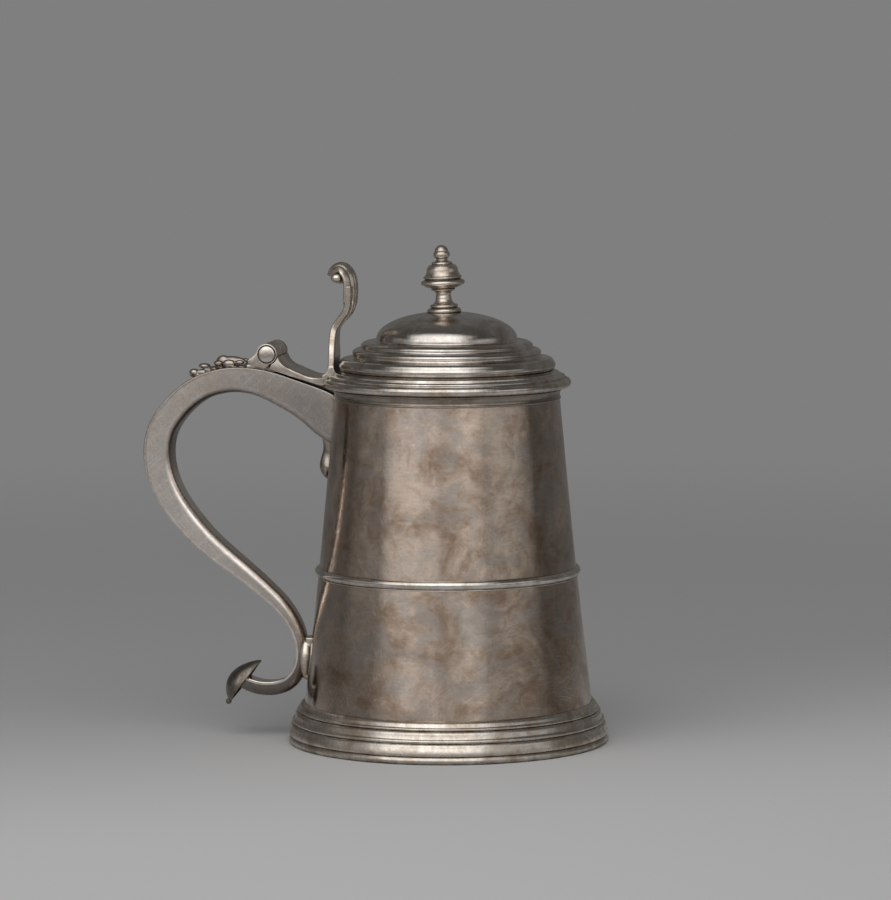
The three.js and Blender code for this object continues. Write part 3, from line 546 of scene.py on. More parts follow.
def dirt_and_occlusion_shade():
    """Tarnish where polish never reaches, found by ambient occlusion: dark in the grooves and corners, and
    so also painted shade under and between parts.
    """
    tree, given, out = group(
        "dirt_and_occlusion_shade", {"Place": VECTOR, "Reach": VALUE, "Strength": VALUE}, {"Dirt And Shade": VALUE}
    )
    open_share = put(tree, "ShaderNodeAmbientOcclusion", {"Distance": given["Reach"]}, samples=6)
    hidden = ranged(tree, open_share.outputs["AO"], 0.82, 0.3)
    patchy = ranged(tree, noise(tree, given["Place"], 160.0, 3.0, 0.6), 0.3, 0.6, 0.55, 1.0)
    dirt_and_shade = times(tree, times(tree, hidden, patchy), given["Strength"])
    tree.links.new(dirt_and_shade, out["Dirt And Shade"])
    return tree


TARNISH = clouded_tarnish()
SCRATCHES = wiped_scratches()
DIRT_AND_OCCLUSION_SHADE = dirt_and_occlusion_shade()


def placed(tree, made_group, **values):
    """The outputs of a node group that is put to use with these inputs."""
    made = tree.nodes.new("ShaderNodeGroup")
    made.node_tree = made_group
    for name, value in values.items():
        socket = made.inputs[name.replace("_", " ").title()]
        if isinstance(value, bpy.types.NodeSocket):
            tree.links.new(value, socket)
        else:
            socket.default_value = value
    return made.outputs


def silver(name, clear, brown, grey, gloss=(0.15, 0.26), cloud_size=0.02, spots=0.5, dirt_and_shade=0.9,
           waves=0.12, marks=0.014, painted_shade=False):
    """Old silver: clouds of tarnish, rubbed marks, and dark tarnish in the grooves that also paints shade
    under and between parts. The handle's gets painted shade as well.
    """
    material = bpy.data.materials.new(name)
    material.use_nodes = True
    tree = material.node_tree
    shader = tree.nodes["Principled BSDF"]
    coordinates = put(tree, "ShaderNodeTexCoord").outputs
    place = coordinates["Object"]
    tarnish = placed(tree, TARNISH, place=place, clear=clear, brown=brown, grey=grey,
                     cloud_size=cloud_size, spots=spots)
    rubbed = placed(tree, SCRATCHES, place=place, fineness=75.0)["Marks"]
    groove = placed(tree, DIRT_AND_OCCLUSION_SHADE, place=place, reach=3.0 * MM, strength=dirt_and_shade)["Dirt And Shade"]
    light = mixed(tree, 1.0, tarnish["Colour"], RUBBED, "MULTIPLY")
    colour = mixed(tree, times(tree, rubbed, 0.6), tarnish["Colour"], light)
    # Dark tarnish in the hollows, with painted occlusion shade under and between parts
    colour = mixed(tree, groove, colour, DIRT_AND_SHADE_COLOUR)
    if painted_shade:
        # Painted shade on the handle: darker at its root near the drum, down its lower curl, and on its
        # inner side
        parts = put(tree, "ShaderNodeSeparateXYZ", {"Vector": place}).outputs
        root = ranged(tree, parts["X"], *ROOT_SHADE_SPAN, 0.0, 0.42)
        curl = ranged(tree, parts["Z"], *CURL_SHADE_SPAN, 0.75, 0.0)
        facing = measured(tree, "DOT_PRODUCT", coordinates["Normal"], INNER_SIDE)
        inner = ranged(tree, facing, 0.2, 0.7, 0.0, 0.8)
        share = sums(tree, "MAXIMUM", sums(tree, "MAXIMUM", root, curl), inner)
        colour = mixed(tree, share, colour, DIRT_AND_SHADE_COLOUR)
    tree.links.new(colour, shader.inputs["Base Color"])
    rough = ranged(tree, tarnish["Cloud"], 0.0, 1.0, *gloss)
    rough = sums(tree, "ADD", rough, times(tree, rubbed, 0.04))
    rough = sums(tree, "ADD", rough, times(tree, groove, 0.25))
    tree.links.new(rough, shader.inputs["Roughness"])
    shader.inputs["Metallic"].default_value = 1.0
    beaten = noise(tree, place, 60.0, 2.0, 0.45)
    wave = put(tree, "ShaderNodeBump", {"Height": beaten, "Strength": 1.0, "Distance": waves * MM})
    scratch = put(tree, "ShaderNodeBump", {
        "Height": rubbed, "Strength": 0.6, "Distance": -marks * MM, "Normal": wave.outputs["Normal"],
    })
    tree.links.new(scratch.outputs["Normal"], shader.inputs["Normal"])
    return material


DRUM_SILVER = silver("drum_silver", (0.70, 0.575, 0.475, 1), (0.38, 0.27, 0.195, 1), (0.50, 0.46, 0.43, 1),
                     gloss=(0.07, 0.19), cloud_size=0.024, waves=0.13)
LID_SILVER = silver("lid_silver", (0.80, 0.765, 0.725, 1), (0.48, 0.41, 0.35, 1), (0.62, 0.60, 0.57, 1),
                    gloss=(0.12, 0.2), cloud_size=0.022, waves=0.06)
MOULDING_SILVER = silver("moulding_silver", (0.82, 0.77, 0.71, 1), (0.50, 0.43, 0.36, 1),
                         (0.64, 0.62, 0.59, 1), gloss=(0.12, 0.2), cloud_size=0.014, dirt_and_shade=1.0, waves=0.04)
# Gets painted shade on its root, lower curl and inner side
HANDLE_SILVER = silver("handle_silver", (0.90, 0.83, 0.77, 1), (0.66, 0.58, 0.51, 1),
                       (0.78, 0.74, 0.72, 1), gloss=(0.2, 0.3), cloud_size=0.018, waves=0.06, painted_shade=True)
STRAP_SILVER = silver("strap_silver", (0.92, 0.86, 0.80, 1), (0.70, 0.62, 0.55, 1),
                      (0.80, 0.76, 0.73, 1), gloss=(0.14, 0.2), cloud_size=0.018, dirt_and_shade=0.3, waves=0.05)
CAST_SILVER = silver("cast_silver", (0.78, 0.71, 0.63, 1), (0.50, 0.42, 0.34, 1), (0.62, 0.58, 0.54, 1),
                     gloss=(0.24, 0.34), cloud_size=0.01, waves=0.04)
DROP_SILVER = silver("drop_silver", (0.56, 0.50, 0.44, 1), (0.34, 0.28, 0.23, 1), (0.46, 0.43, 0.40, 1),
                     gloss=(0.2, 0.3), cloud_size=0.008, dirt_and_shade=1.0, waves=0.04)
# A dark copy of the cast silver: painted shade on the terminal at the handle's lower curl
SHADED_TERMINAL_SILVER = silver("shaded_terminal_silver", (0.27, 0.25, 0.22, 1), (0.16, 0.13, 0.10, 1), (0.22, 0.21, 0.20, 1),
                    gloss=(0.26, 0.36), cloud_size=0.008, dirt_and_shade=1.0, waves=0.04)
FOOT_SILVER = silver("foot_silver", (0.76, 0.695, 0.62, 1), (0.44, 0.36, 0.285, 1), (0.60, 0.56, 0.52, 1),
                     gloss=(0.24, 0.34), cloud_size=0.016, dirt_and_shade=1.0, waves=0.05)
# A darker copy of the moulding silver: painted shade on the rim wire under the lid's flange
SHADED_RIM_WIRE_SILVER = silver("shaded_rim_wire_silver", (0.40, 0.35, 0.30, 1), (0.26, 0.21, 0.17, 1), (0.32, 0.30, 0.27, 1),
                    cloud_size=0.014, waves=0.04)
PIN_SILVER = silver("pin_silver", (0.80, 0.73, 0.68, 1), (0.60, 0.52, 0.45, 1), (0.66, 0.62, 0.60, 1),
                    gloss=(0.16, 0.24), cloud_size=0.008, waves=0.03)


# ---- The drum and its foot ----


def make_drum():
    low, high = LOW_EDGE, RIM_HEIGHT
    lip = drum_radius(high)
    inside = drum_side(high, low, -WALL)
    outline = [*drum_side(low, high - LIP_ROUND), (lip - LIP_ROUND, high),
               (lip - WALL + LIP_ROUND, high), *inside[1:]]
    drum = turned("drum", outline)
    finish(drum, "vessel", DRUM_SILVER, "silver_sheet", "drum_wall")


def make_bottom():
    low = LOW_EDGE + BOTTOM_LIFT
    edge = drum_radius(low) - WALL
    outline = path(
        (0, low + 0.9), (0.5, low + 0.9), (edge - 4, low + 0.15, 0.2, 10), (edge, low, 0.15, 4),
        (edge, low + 1.0), (edge - 4, low + 1.15, 0.1, 4), (0, low + 1.9, -0.2, 10),
    )
    bottom = turned("bottom", outline)
    finish(bottom, "vessel", DRUM_SILVER, "silver_sheet", "drum_bottom")


def make_foot_ring():
    out, top = FOOT_RADIUS, FOOT_RING_TOP
    outline = path(
        (out - 2.4, 0), (out - 0.7, 0), (out - 0.2, 0.7, 0.15, 4), (out - 0.95, top - 0.1, 0.4, 8),
        (out - 2.4, top),
    )
    ring = turned("foot_ring_turned", outline)
    finish(ring, "vessel", FOOT_SILVER, "silver_moulding", "foot_ring")


def make_foot():
    out = FOOT_RADIUS
    low = FOOT_RING_TOP - FOOT_LAP
    outline = path(
        (out - 1.5, low), *bow((out - 0.9, low + 0.2), (out - 0.15, low + 0.9), 0.2, 4),
        (out - 0.9, low + 3.9, 0.15, 6), (out - 1.9, low + 5.35, 0.25, 6), (out - 2.2, low + 5.5),
        (out - 1.75, low + 6.0, 0.12, 3), (out - 1.95, low + 6.9, 0.15, 4),
        (out - 2.8, low + 7.5, -0.15, 4), (out - 2.95, low + 9.1), (out - 4.2, low + 10.4, 0.25, 6),
        (out - 4.6, low + 10.5), (out - 4.1, low + 11.0, 0.12, 3), (out - 4.3, low + 11.6, 0.12, 4),
        (out - 5.0, low + 12.2, -0.1, 4), (out - 5.1, low + 13.1),
        (drum_radius(FOOT_TOP) + 0.1, FOOT_TOP, 0.2, 6), (drum_radius(FOOT_TOP) - 0.2, FOOT_TOP - 0.3),
        (drum_radius(low + 9) - LAP, low + 9), (drum_radius(low + 4) + 0.8, low + 6),
        (out - 3.4, low + 2.5), (out - 2.2, low),
    )
    foot = turned("foot_swaged", outline)
    finish(foot, "vessel", FOOT_SILVER, "silver_moulding", "foot_moulding")


def make_mid_band():
    wall = drum_radius(BAND_HEIGHT)
    low, high = BAND_HEIGHT - BAND_BELOW, BAND_HEIGHT + BAND_ABOVE
    outline = path(
        (wall - LAP, low), *bow((wall + 0.4, low), (wall + 0.45, low + 0.5), 0.15, 4),
        (wall + 0.3, low + 0.6), (wall + 0.25, high - 0.1, 1.35, 16), (wall - 0.3, high),
    )
    band = turned("mid_band_wire", outline)
    finish(band, "vessel", MOULDING_SILVER, "silver_moulding", "mid_band")


def make_rim():
    wall = drum_radius(RIM_HEIGHT)
    low, high = RIM_HEIGHT - RIM_WIRE, RIM_HEIGHT
    outline = path(
        (wall - LAP, low), (wall + 0.55, low), (wall + 0.6, low + 0.9, 0.25, 6), (wall + 0.45, low + 1.0),
        (wall + 1.2, high - 0.95, -0.4, 9), (wall + 1.15, high - 0.02, 0.3, 6), (wall - LAP, high - 0.02),
    )
    rim = turned("rim_wire", outline)
    finish(rim, "vessel", SHADED_RIM_WIRE_SILVER, "silver_moulding", "rim_moulding")


# ---- The lid ----


def make_flange():
    low, out = FLANGE_UNDERSIDE, FLANGE_RADIUS
    edge, high = out - FLANGE_ROUND, low + FLANGE_EDGE
    outline = path(
        (FLANGE_INSIDE, low), (edge, low), (edge, high, FLANGE_ROUND, 16),
        (out - 2.6, low + 4.1, -0.3, 5), (out - 3.0, low + 5.1, 0.25, 5), (out - 3.4, low + 4.9),
        (out - 5.0, low + 5.8, -0.4, 6), *bow((out - 5.0, low + 5.9), (out - 5.4, low + 6.5), 0.15, 4),
        (COVER_RADIUS - 0.5, low + 7.3, -0.15, 4), (COVER_RADIUS - 1.7, low + 7.3),
        (COVER_RADIUS - 1.4, low + 5.6), (out - 5.8, low + 4.6), (out - 5.4, low + 1.3),
        (FLANGE_INSIDE, low + 1.3),
    )
    flange = turned("flange", outline)
    finish(flange, "lid", MOULDING_SILVER, "silver_moulding", "lid_flange")


def dome_side(offset, steps=22):
    """The dome, from its foot to its top."""
    rise = DOME_TOP - DOME_FOOT + offset
    angles = [0.5 * math.pi * i / steps for i in range(steps)]
    side = [((DOME_RADIUS + offset) * math.cos(a), DOME_FOOT + rise * math.sin(a)) for a in angles]
    return [*side, (0, DOME_FOOT + rise)]


def cover_side(offset):
    """The roll and the two steps, up to the foot of the dome."""
    low = COVER_UNDERSIDE + offset
    one, two, three = (radius + offset for radius in (COVER_RADIUS, STEP_TWO_RADIUS, STEP_ONE_RADIUS))
    dome = DOME_RADIUS + offset
    return path(
        *bow((one - 0.9, low + 0.9), (one - 0.25, low + 1.8), 0.15, 4), (one - 0.6, low + 4.6, 0.55, 8),
        (one - 3.0, low + 6.2, 0.5, 7), (two + 0.5, low + 6.5, -0.1, 4), (two - 0.1, low + 8.1, -0.35, 6),
        (two - 0.2, low + 9.1, 0.15, 4), (three + 0.6, low + 10.2, 0.4, 6),
        (three - 0.1, low + 11.2, -0.25, 5), (three - 0.2, low + 11.9, 0.08, 3),
        (three - 3.6, low + 13.3, 0.5, 8), (dome + 0.6, low + 13.4, -0.12, 5),
        (dome, low + 14.1, -0.15, 4),
    )


def make_cover():
    foot = (COVER_RADIUS - 0.9, COVER_UNDERSIDE + 0.9)
    outside = [foot, *cover_side(0), *dome_side(0)]
    inside = [(foot[0] - LID_SHEET, foot[1]), *cover_side(-LID_SHEET), *dome_side(-LID_SHEET)]
    cover = turned("cover", [*outside, *reversed(inside)])
    finish(cover, "lid", LID_SILVER, "silver_sheet", "lid_cover")


def make_bezel():
    top = FLANGE_UNDERSIDE + LAP
    out, low = MOUTH_RADIUS - WALL - BEZEL_PLAY, top - BEZEL_DEPTH
    outline = path((out - 1, top), (out, top), (out - 0.9, low), (out - 1.9, low, 0.3, 5))
    bezel = turned("bezel", outline)
    finish(bezel, "lid", LID_SILVER, "silver_sheet", "lid_bezel")


def make_finial():
    """The finial, which leans towards the handle as handmade work does."""
    foot = DOME_TOP - FINIAL_SINK
    outline = path(
        (0, 0.2), (6.3, 0.2), (6.4, 0.45), (6.3, 2.65, 1.0, 12), (5.5, 2.95, -0.1, 3),
        (5.3, 4.3, 0.62, 8), (4.9, 4.45), (3.4, 7.4, -0.5, 9), (4.6, 10.3, -0.7, 9), (4.9, 11.1, 0.42, 6),
        (4.75, 11.25), (8.2, 12.5, 0.3, 7), (8.4, 14.75, 1.1, 12), (7.8, 15.0, -0.05, 2), (7.6, 15.3),
        (8.1, 15.6, -0.08, 3), (7.95, 16.35, 0.25, 5), (6.75, 18.5, -0.12, 5), (5.2, 21.4, 0.5, 8),
        (4.3, 21.5), (4.0, 22.5, 0.35, 6), (2.4, 23.3, -0.15, 4), (2.5, 24.0, -0.12, 3),
        (3.05, 26.95, 0.75, 10), (2.85, 27.05), (2.9, 27.2), (0, 29.75, 0.75, 10),
    )
    outline = [(radius, foot + height) for radius, height in outline]
    finial = turned("finial_turned", outline, SMALL_TURNS)
    edit(finial)
    turn(-FINIAL_LEAN, "Y", at(0, 0, foot))
    bpy.ops.transform.translate(value=(-FINIAL_SHIFT * MM, 0, 0))
    leave()
    finish(finial, "lid", CAST_SILVER, "silver_cast", "finial")


def make_washer():
    top = DOME_TOP - LID_SHEET
    outline = path(
        (0, top - 2.4), (2.6, top - 1.5, 0.35, 6), (5.1, top - 1.5), (5.5, top - 1.1), (5.5, top - 0.4),
        (0, top),
    )
    washer = turned("washer", outline, SMALL_TURNS)
    finish(washer, "lid", CAST_SILVER, "silver_cast", "finial_washer")


# ---- The handle ----


def handle_line(steps=4):
    """Stations down the handle's outer line as (x, z, half width, depth)."""
    foot = drum_radius(STRUT_HEIGHT)
    points = [(-(MOUTH_RADIUS + out), RIM_HEIGHT + up, deep) for out, up, deep in ARCH]
    points += [(-(foot + out), STRUT_HEIGHT + up, deep) for out, up, deep in SCROLL]
    line = smooth_line(points, steps)
    found = []
    for i, (x, z, deep) in enumerate(line):
        share = i / (len(line) - 1)
        width = ROOT_WIDTH + (TIP_WIDTH - ROOT_WIDTH) * min(1, share * NARROWING)
        found.append((x, z, width / 2, deep))
    return found


def moved_in(stations, inset):
    """The same line a little further in, with what is left of the depth."""
    found = []
    for i, (x, z, half, deep) in enumerate(stations):
        ax, az, *_ = stations[max(i - 1, 0)]
        bx, bz, *_ = stations[min(i + 1, len(stations) - 1)]
        length = math.hypot(bx - ax, bz - az)
        found.append((x - (bz - az) / length * inset, z + (bx - ax) / length * inset, half, deep - inset))
    return found


def drum_tool():
    """What the drum and its rim wire take up, for cutting pieces to their side."""
    low, high = RIM_HEIGHT - RIM_WIRE, RIM_HEIGHT + 12
    out = drum_radius(RIM_HEIGHT) + 0.5
    return turned("drum_tool", [(0, 0), *drum_side(0, low, -LAP), (out, low), (out, high), (0, high)])


def make_strap():
    stations = [(x, z, half, STRAP) for x, z, half, _ in handle_line()]
    section = [(-0.96, 0.1), (-0.6, 0.02), (0, 0), (0.6, 0.02), (0.96, 0.1),
               (1, 0.3), (1, 1), (-1, 1), (-1, 0.3)]
    strap = swept("strap", stations, section)
    cut(strap, drum_tool())
    soften(strap, 0.45, 4, 50)
    finish(strap, "vessel", STRAP_SILVER, "silver_sheet", "handle_strap")


def make_channel():
    line = moved_in(handle_line(), STRAP - STRAP_LAP)
    stations = [(x, z, half - CHANNEL_INSET, deep) for x, z, half, deep in line]
    inner_corners = (2, 3)
    channel = swept("channel", stations, [(-1, 0), (1, 0), (1, 1), (-1, 1)], marked=inner_corners)
    for number in inner_corners:
        modify(channel, "BEVEL", width=CORNER_ROUND * MM, segments=7, limit_method="VGROUP",
               vertex_group=f"edge_{number}", use_clamp_overlap=True)
    cut(channel, drum_tool())
    finish(channel, "vessel", HANDLE_SILVER, "silver_sheet", "handle_channel")


def make_tail():
    """A long drop, rounded in front, with its back in the drum's sheet."""
    slant, sunk = 1.06, 0.3
    points = [
        (-drum_radius(RIM_HEIGHT - fall) - out, RIM_HEIGHT - fall, half, out * slant + sunk)
        for fall, out, half in TAIL
    ]
    stations = smooth_line(points, 4)
    angles = [math.radians(angle) for angle in range(10, 91, 5)]
    side = [(math.sin(angle), 1 - math.cos(angle)) for angle in angles]
    section = [*((-across, deep) for across, deep in reversed(side)), (0, 0), *side]
    tail = swept("tail", stations, section)
    finish(tail, "vessel", DROP_SILVER, "silver_cast", "handle_tail", smooth=50)


def make_strut():
    """The strut, a block with a cushion over it."""
    wall = drum_radius(STRUT_HEIGHT)
    half, round_by = 4.6, 2.2
    inner, out = -wall + 1.5, -wall - 4.0
    side = path(
        *bow((inner, half), (out + round_by, half), 0.01, 2), (out, half - round_by, -0.7, 7),
        (out, round_by - half, -0.25, 5), (out + round_by, -half, -0.7, 7), (inner, -half),
    )
    strut = upright("strut", [(inner, half), *side], STRUT_HEIGHT - STRUT_HALF, STRUT_HEIGHT + STRUT_HALF)
    soften(strut, 1.5, 5, 50)
    cushion = ball("cushion", at(-wall - 1.9, 0, STRUT_HEIGHT - 0.4), (4.3, 6.8, 9.6), 48)
    join("handle_strut_cast", strut, cushion)
    cast(strut)
    cut(strut, drum_tool())
    finish(strut, "vessel", CAST_SILVER, "silver_cast", "handle_strut")


def make_terminal():
    """Half of a turned drop, pressed flatter and hollow, with a bud on its lower end."""
    length, width, bulge = 23.4, 17.2, 7.0
    shares = [i / 16 - 1 for i in range(33)]
    side = [(0.5 * width * (1 - 0.22 * s) * max(0.0, 1 - s * s) ** 0.85, 0.5 * length * s) for s in shares]
    shell = turned("terminal", side, TERMINAL_TURNS)
    edit(shell)
    centre = at(0, 0, 0)
    bpy.ops.transform.resize(value=(2 * bulge / width, 1, 1), center_override=centre)
    bpy.ops.mesh.bisect(plane_co=centre, plane_no=(1, 0, 0), clear_outer=True)
    leave()
    modify(shell, "SOLIDIFY", thickness=TERMINAL_SHEET * MM, offset=-1.0)
    bud = ball("bud", at(-0.6, 0, -length / 2), (1.25, 1.25, 1.35), 20)
    join("terminal", shell, bud)
    end_x, end_z, *_ = handle_line()[-1]
    move_x, move_z = end_x + TERMINAL_PLACE[0], end_z + TERMINAL_PLACE[1]
    edit(shell)
    turn(TERMINAL_LEAN, "Y", centre)
    bpy.ops.transform.translate(value=(move_x * MM, 0, move_z * MM))
    leave()
    finish(shell, "vessel", SHADED_TERMINAL_SILVER, "silver_cast", "handle_terminal")


# ---- The hinge ----


def handle_top(x):
    """The height of the handle's outer line, where it first passes x."""
    line = [(sx, sz) for sx, sz, *_ in handle_line()]
    for (ax, az), (bx, bz) in zip(line, line[1:]):
        if ax >= x > bx:
            return az + (bz - az) * (x - ax) / (bx - ax)
    return line[-1][1]


def lump(out, radii, across=0.0, lift=0.0):
    """A lump of the hinge drop, at a distance down the handle's top."""
    x = HINGE_X - DROP_START - out
    return ball("lump", at(x, across, handle_top(x) + lift), radii)


def make_hinge_drop():
    """A crest between two rows of petals, two beads beyond it, and thin metal under them all."""
    crest = [lump(9.0, (3.6, 2.2, 4.0), lift=1.2), lump(5.4, (7.4, 2.4, 3.7), lift=0.6)]
    lobes = [
        lump(out, radii, side * across, lift)
        for side in (-1, 1)
        for out, radii, across, lift in ((0.8, (2.2, 1.5, 0.9), 5.4, 1.9), (5.4, (2.9, 1.6, 1.8), 5.8, 1.5),
                                         (10.4, (2.3, 1.6, 1.3), 3.4, 2.2))
    ]
    beads = [lump(17.4, (2.6, 2.0, 1.15), lift=2.8), lump(22.0, (2.2, 1.9, 1.6), lift=2.1)]
    plate = [
        lump(out, (3.6, wide, high))
        for out, wide, high in ((0, 6.4, 0.9), (3, 7.6, 0.9), (6, 7.0, 0.9), (9, 4.6, 1.1), (12, 2.4, 1.2),
                                (15, 1.7, 1.4), (18, 1.4, 1.5), (20.5, 1.3, 1.1))
    ]
    ornament = join("hinge_ornament", *crest, *lobes, *beads, *plate)
    cast(ornament)
    finish(ornament, "vessel", DROP_SILVER, "silver_cast", "hinge_drop", smooth=180)


def make_plate():
    corners = [(-9.8, -7.4), (2.6, -9.4), (2.6, -5.8), (-7.0, -4.7), (-9.8, -5.0)]
    plate = slab("plate", [(HINGE_X + x, HINGE_Z + z) for x, z in corners], PLATE_WIDTH)
    soften(plate, 0.35)
    finish(plate, "vessel", CAST_SILVER, "silver_cast", "hinge_plate")


def arc_points(radius, first, last, steps, x=HINGE_X, z=HINGE_Z):
    """Points round the pin, or round another place, from one angle in degrees to another."""
    angles = [math.radians(first + (last - first) * i / steps) for i in range(steps + 1)]
    return [(x + radius * math.cos(a), z + radius * math.sin(a)) for a in angles]


def ring_points(radius, steps, x=HINGE_X, z=HINGE_Z):
    """A whole circle of points."""
    return arc_points(radius, 0, 360 - 360 / steps, steps - 1, x, z)


def handle_knuckle(name, width, middle, node, end=0):
    """A knuckle with the lug that stands on the plate. An end knuckle, -1 or 1, has a seat for its cap."""
    lug_top, lug_foot = 172, -76
    angle = math.radians(lug_top)
    side = (KNUCKLE_RADIUS * math.cos(angle), KNUCKLE_RADIUS * math.sin(angle))
    lug = path(*bow(side, (-8.7, -2.9), -0.3, 6), (-7.0, -5.1, -0.5, 6), (-1.3, -6.3, -0.3, 6), (0.4, -5.3))
    lug = [(HINGE_X + x, HINGE_Z + z) for x, z in lug]
    knuckle = slab(name, [*lug, *arc_points(KNUCKLE_RADIUS, lug_foot, lug_top - 4, 46)], width, middle)
    soften(knuckle, 0.25, 2, 50)
    if end:
        seat = slab("seat", ring_points(CAP_RADIUS + CAP_PLAY, 40), 2 * CAP_DEPTH, middle + end * width / 2)
        cut(knuckle, seat)
    finish(knuckle, "vessel", CAST_SILVER, "silver_cast", node)


def lid_knuckle(name, middle, node):
    knuckle = slab(name, ring_points(KNUCKLE_RADIUS, 48), LID_KNUCKLE, middle)
    soften(knuckle, 0.25, 2, 50)
    finish(knuckle, "lid", CAST_SILVER, "silver_cast", node)


def make_cap(name, side, node):
    edge = CAP_RADIUS
    outline = path((0, 0), (edge, 0), (edge, 0.9), (edge - 0.4, 1.45, 0.12, 4), (0, 1.8, 0.12, 6))
    cap = turned(name, outline, CAP_TURNS)
    edit(cap)
    turn(-side * math.pi / 2, "X", at(0, 0, 0))
    seat_y = side * (HINGE_WIDTH / 2 - CAP_DEPTH)
    bpy.ops.transform.translate(value=(HINGE_X * MM, seat_y * MM, HINGE_Z * MM))
    leave()
    finish(cap, "vessel", PIN_SILVER, "silver_pin", node)


def make_pin():
    pin = slab("pin", ring_points(PIN_RADIUS, 24), HINGE_WIDTH - 2 * CAP_DEPTH)
    finish(pin, "vessel", PIN_SILVER, "silver_pin", "hinge_pin")


def make_hinge():
    make_plate()
    middle_length = HINGE_WIDTH - 2 * (END_KNUCKLE + LID_KNUCKLE + 2 * KNUCKLE_GAP)
    end_y = (HINGE_WIDTH - END_KNUCKLE) / 2
    lid_y = HINGE_WIDTH / 2 - END_KNUCKLE - KNUCKLE_GAP - LID_KNUCKLE / 2
    handle_knuckle("knuckle_near", END_KNUCKLE, -end_y, "handle_knuckle_near", -1)
    handle_knuckle("knuckle_middle", middle_length, 0, "handle_knuckle_middle")
    handle_knuckle("knuckle_far", END_KNUCKLE, end_y, "handle_knuckle_far", 1)
    lid_knuckle("lid_barrel_near", -lid_y, "lid_knuckle_near")
    lid_knuckle("lid_barrel_far", lid_y, "lid_knuckle_far")
    make_cap("cap_near", -1, "pin_cap_near")
    make_cap("cap_far", 1, "pin_cap_far")
    make_pin()


# ---- The leaf and the thumbpiece ----


def make_leaf():
    places = path(
        (1.2, -6.0), (4.0, -1.4), (4.6, -0.7), (9.6, -6.2, 1.0, 9), (12.1, -7.3), (14.8, -8.4),
        (22.3, -10.2, 0.45, 6), (30.4, -10.2), (30.4, -13.9), (22.2, -12.9), (10.7, -9.5, 0.1, 6),
        (3.4, -7.2, 0.05, 4),
    )
    leaf = slab("leaf", [(HINGE_X + x, HINGE_Z + z) for x, z in places], LEAF_WIDTH)
    swing = slab("swing", ring_points(KNUCKLE_RADIUS + SWING_PLAY, 48), HINGE_WIDTH + 1)
    low, out = FLANGE_UNDERSIDE, FLANGE_RADIUS
    edge = out - FLANGE_ROUND
    tool = turned("flange_tool", path(
        (0, low - 2), (edge, low - 2), (edge, low), (edge, low + FLANGE_EDGE, 1.45, 14),
        (out - 2.5, low + 4.3), (out - 3.3, low + 5.1), (COVER_RADIUS, low + 7.4), (0, low + 7.4),
    ))
    cut(leaf, swing, tool)
    soften(leaf, 0.3, 2, 50)
    finish(leaf, "lid", CAST_SILVER, "silver_cast", "lid_leaf")


def thumb_stations(first, last, thin):
    """Stations of the thumbpiece between two points of its line, drawn from its ridged face."""
    points = [(inward - FLANGE_RADIUS, FLANGE_UNDERSIDE + up, wide) for inward, up, wide in THUMB_LINE]
    line = smooth_line(points, THUMB_STEPS)[THUMB_STEPS * first:THUMB_STEPS * last + 1]
    middle = [(x, z, wide / 2, THUMB_THICKNESS) for x, z, wide in line]
    face = moved_in(middle, -THUMB_THICKNESS / 2)
    return [(x, z, half, THUMB_THICKNESS * (1 - thin * i / len(face)))
            for i, (x, z, half, _) in enumerate(face)]


def thumb_head():
    """The ridged ribbon, which swells out of the stem and narrows round its curl."""
    swelling, curl = 9, 12
    shares = [i / 30 - 1 for i in range(61)]
    face = [(a, 1.15 * a * a - 0.1 - RIDGE * abs(math.cos(2.5 * math.pi * a))) for a in shares]
    line = thumb_stations(5, 12, 0.3)
    places = []
    for i, (x, z, half, deep) in enumerate(line):
        swell = min(1, i / swelling)
        narrow = 0.28 * max(0, 1 - (len(line) - 1 - i) / curl)
        places.append((x, z, half * (0.3 + 0.7 * swell) * (1 - narrow), deep * (0.4 + 0.6 * swell)))
    return swept("head", places, [*face, (0.98, 1.3), (0.9, 1.4), (-0.9, 1.4), (-0.98, 1.3)])


def thumb_roll():
    """The roll that the ribbon curls round, with its rounded ends and the web behind it."""
    x, z = THUMB_ROLL[0] - FLANGE_RADIUS, FLANGE_UNDERSIDE + THUMB_ROLL[1]
    web = ball("web", at(x + 0.7, 0, z + 1.3), (4.1, 7.6, 3.6), 48)
    roll = slab("roll", ring_points(1.7, 24, x, z + 0.6), 14.6)
    ends = [ball("roll_end", at(x + 0.1, side * 7.2, z + 0.7), (2.5, 2.2, 2.0)) for side in (-1, 1)]
    return [web, roll, *ends]


def thumb_foot():
    """The foot, which spreads over the leaf's end on the flange."""
    middle = THUMB_LINE[0][0] - FLANGE_RADIUS
    back, front = middle - THUMB_THICKNESS / 2, middle + THUMB_THICKNESS / 2
    low = FLANGE_UNDERSIDE + 3.6
    return slab("foot", path(
        (back - 2.4, low), (front + 2.6, low), (front + 2.6, low + 1.5), (front, low + 5.2, -0.8, 7),
        (back, low + 4.6), (back - 2.4, low + 1.5, -0.75, 7),
    ), 17.2)


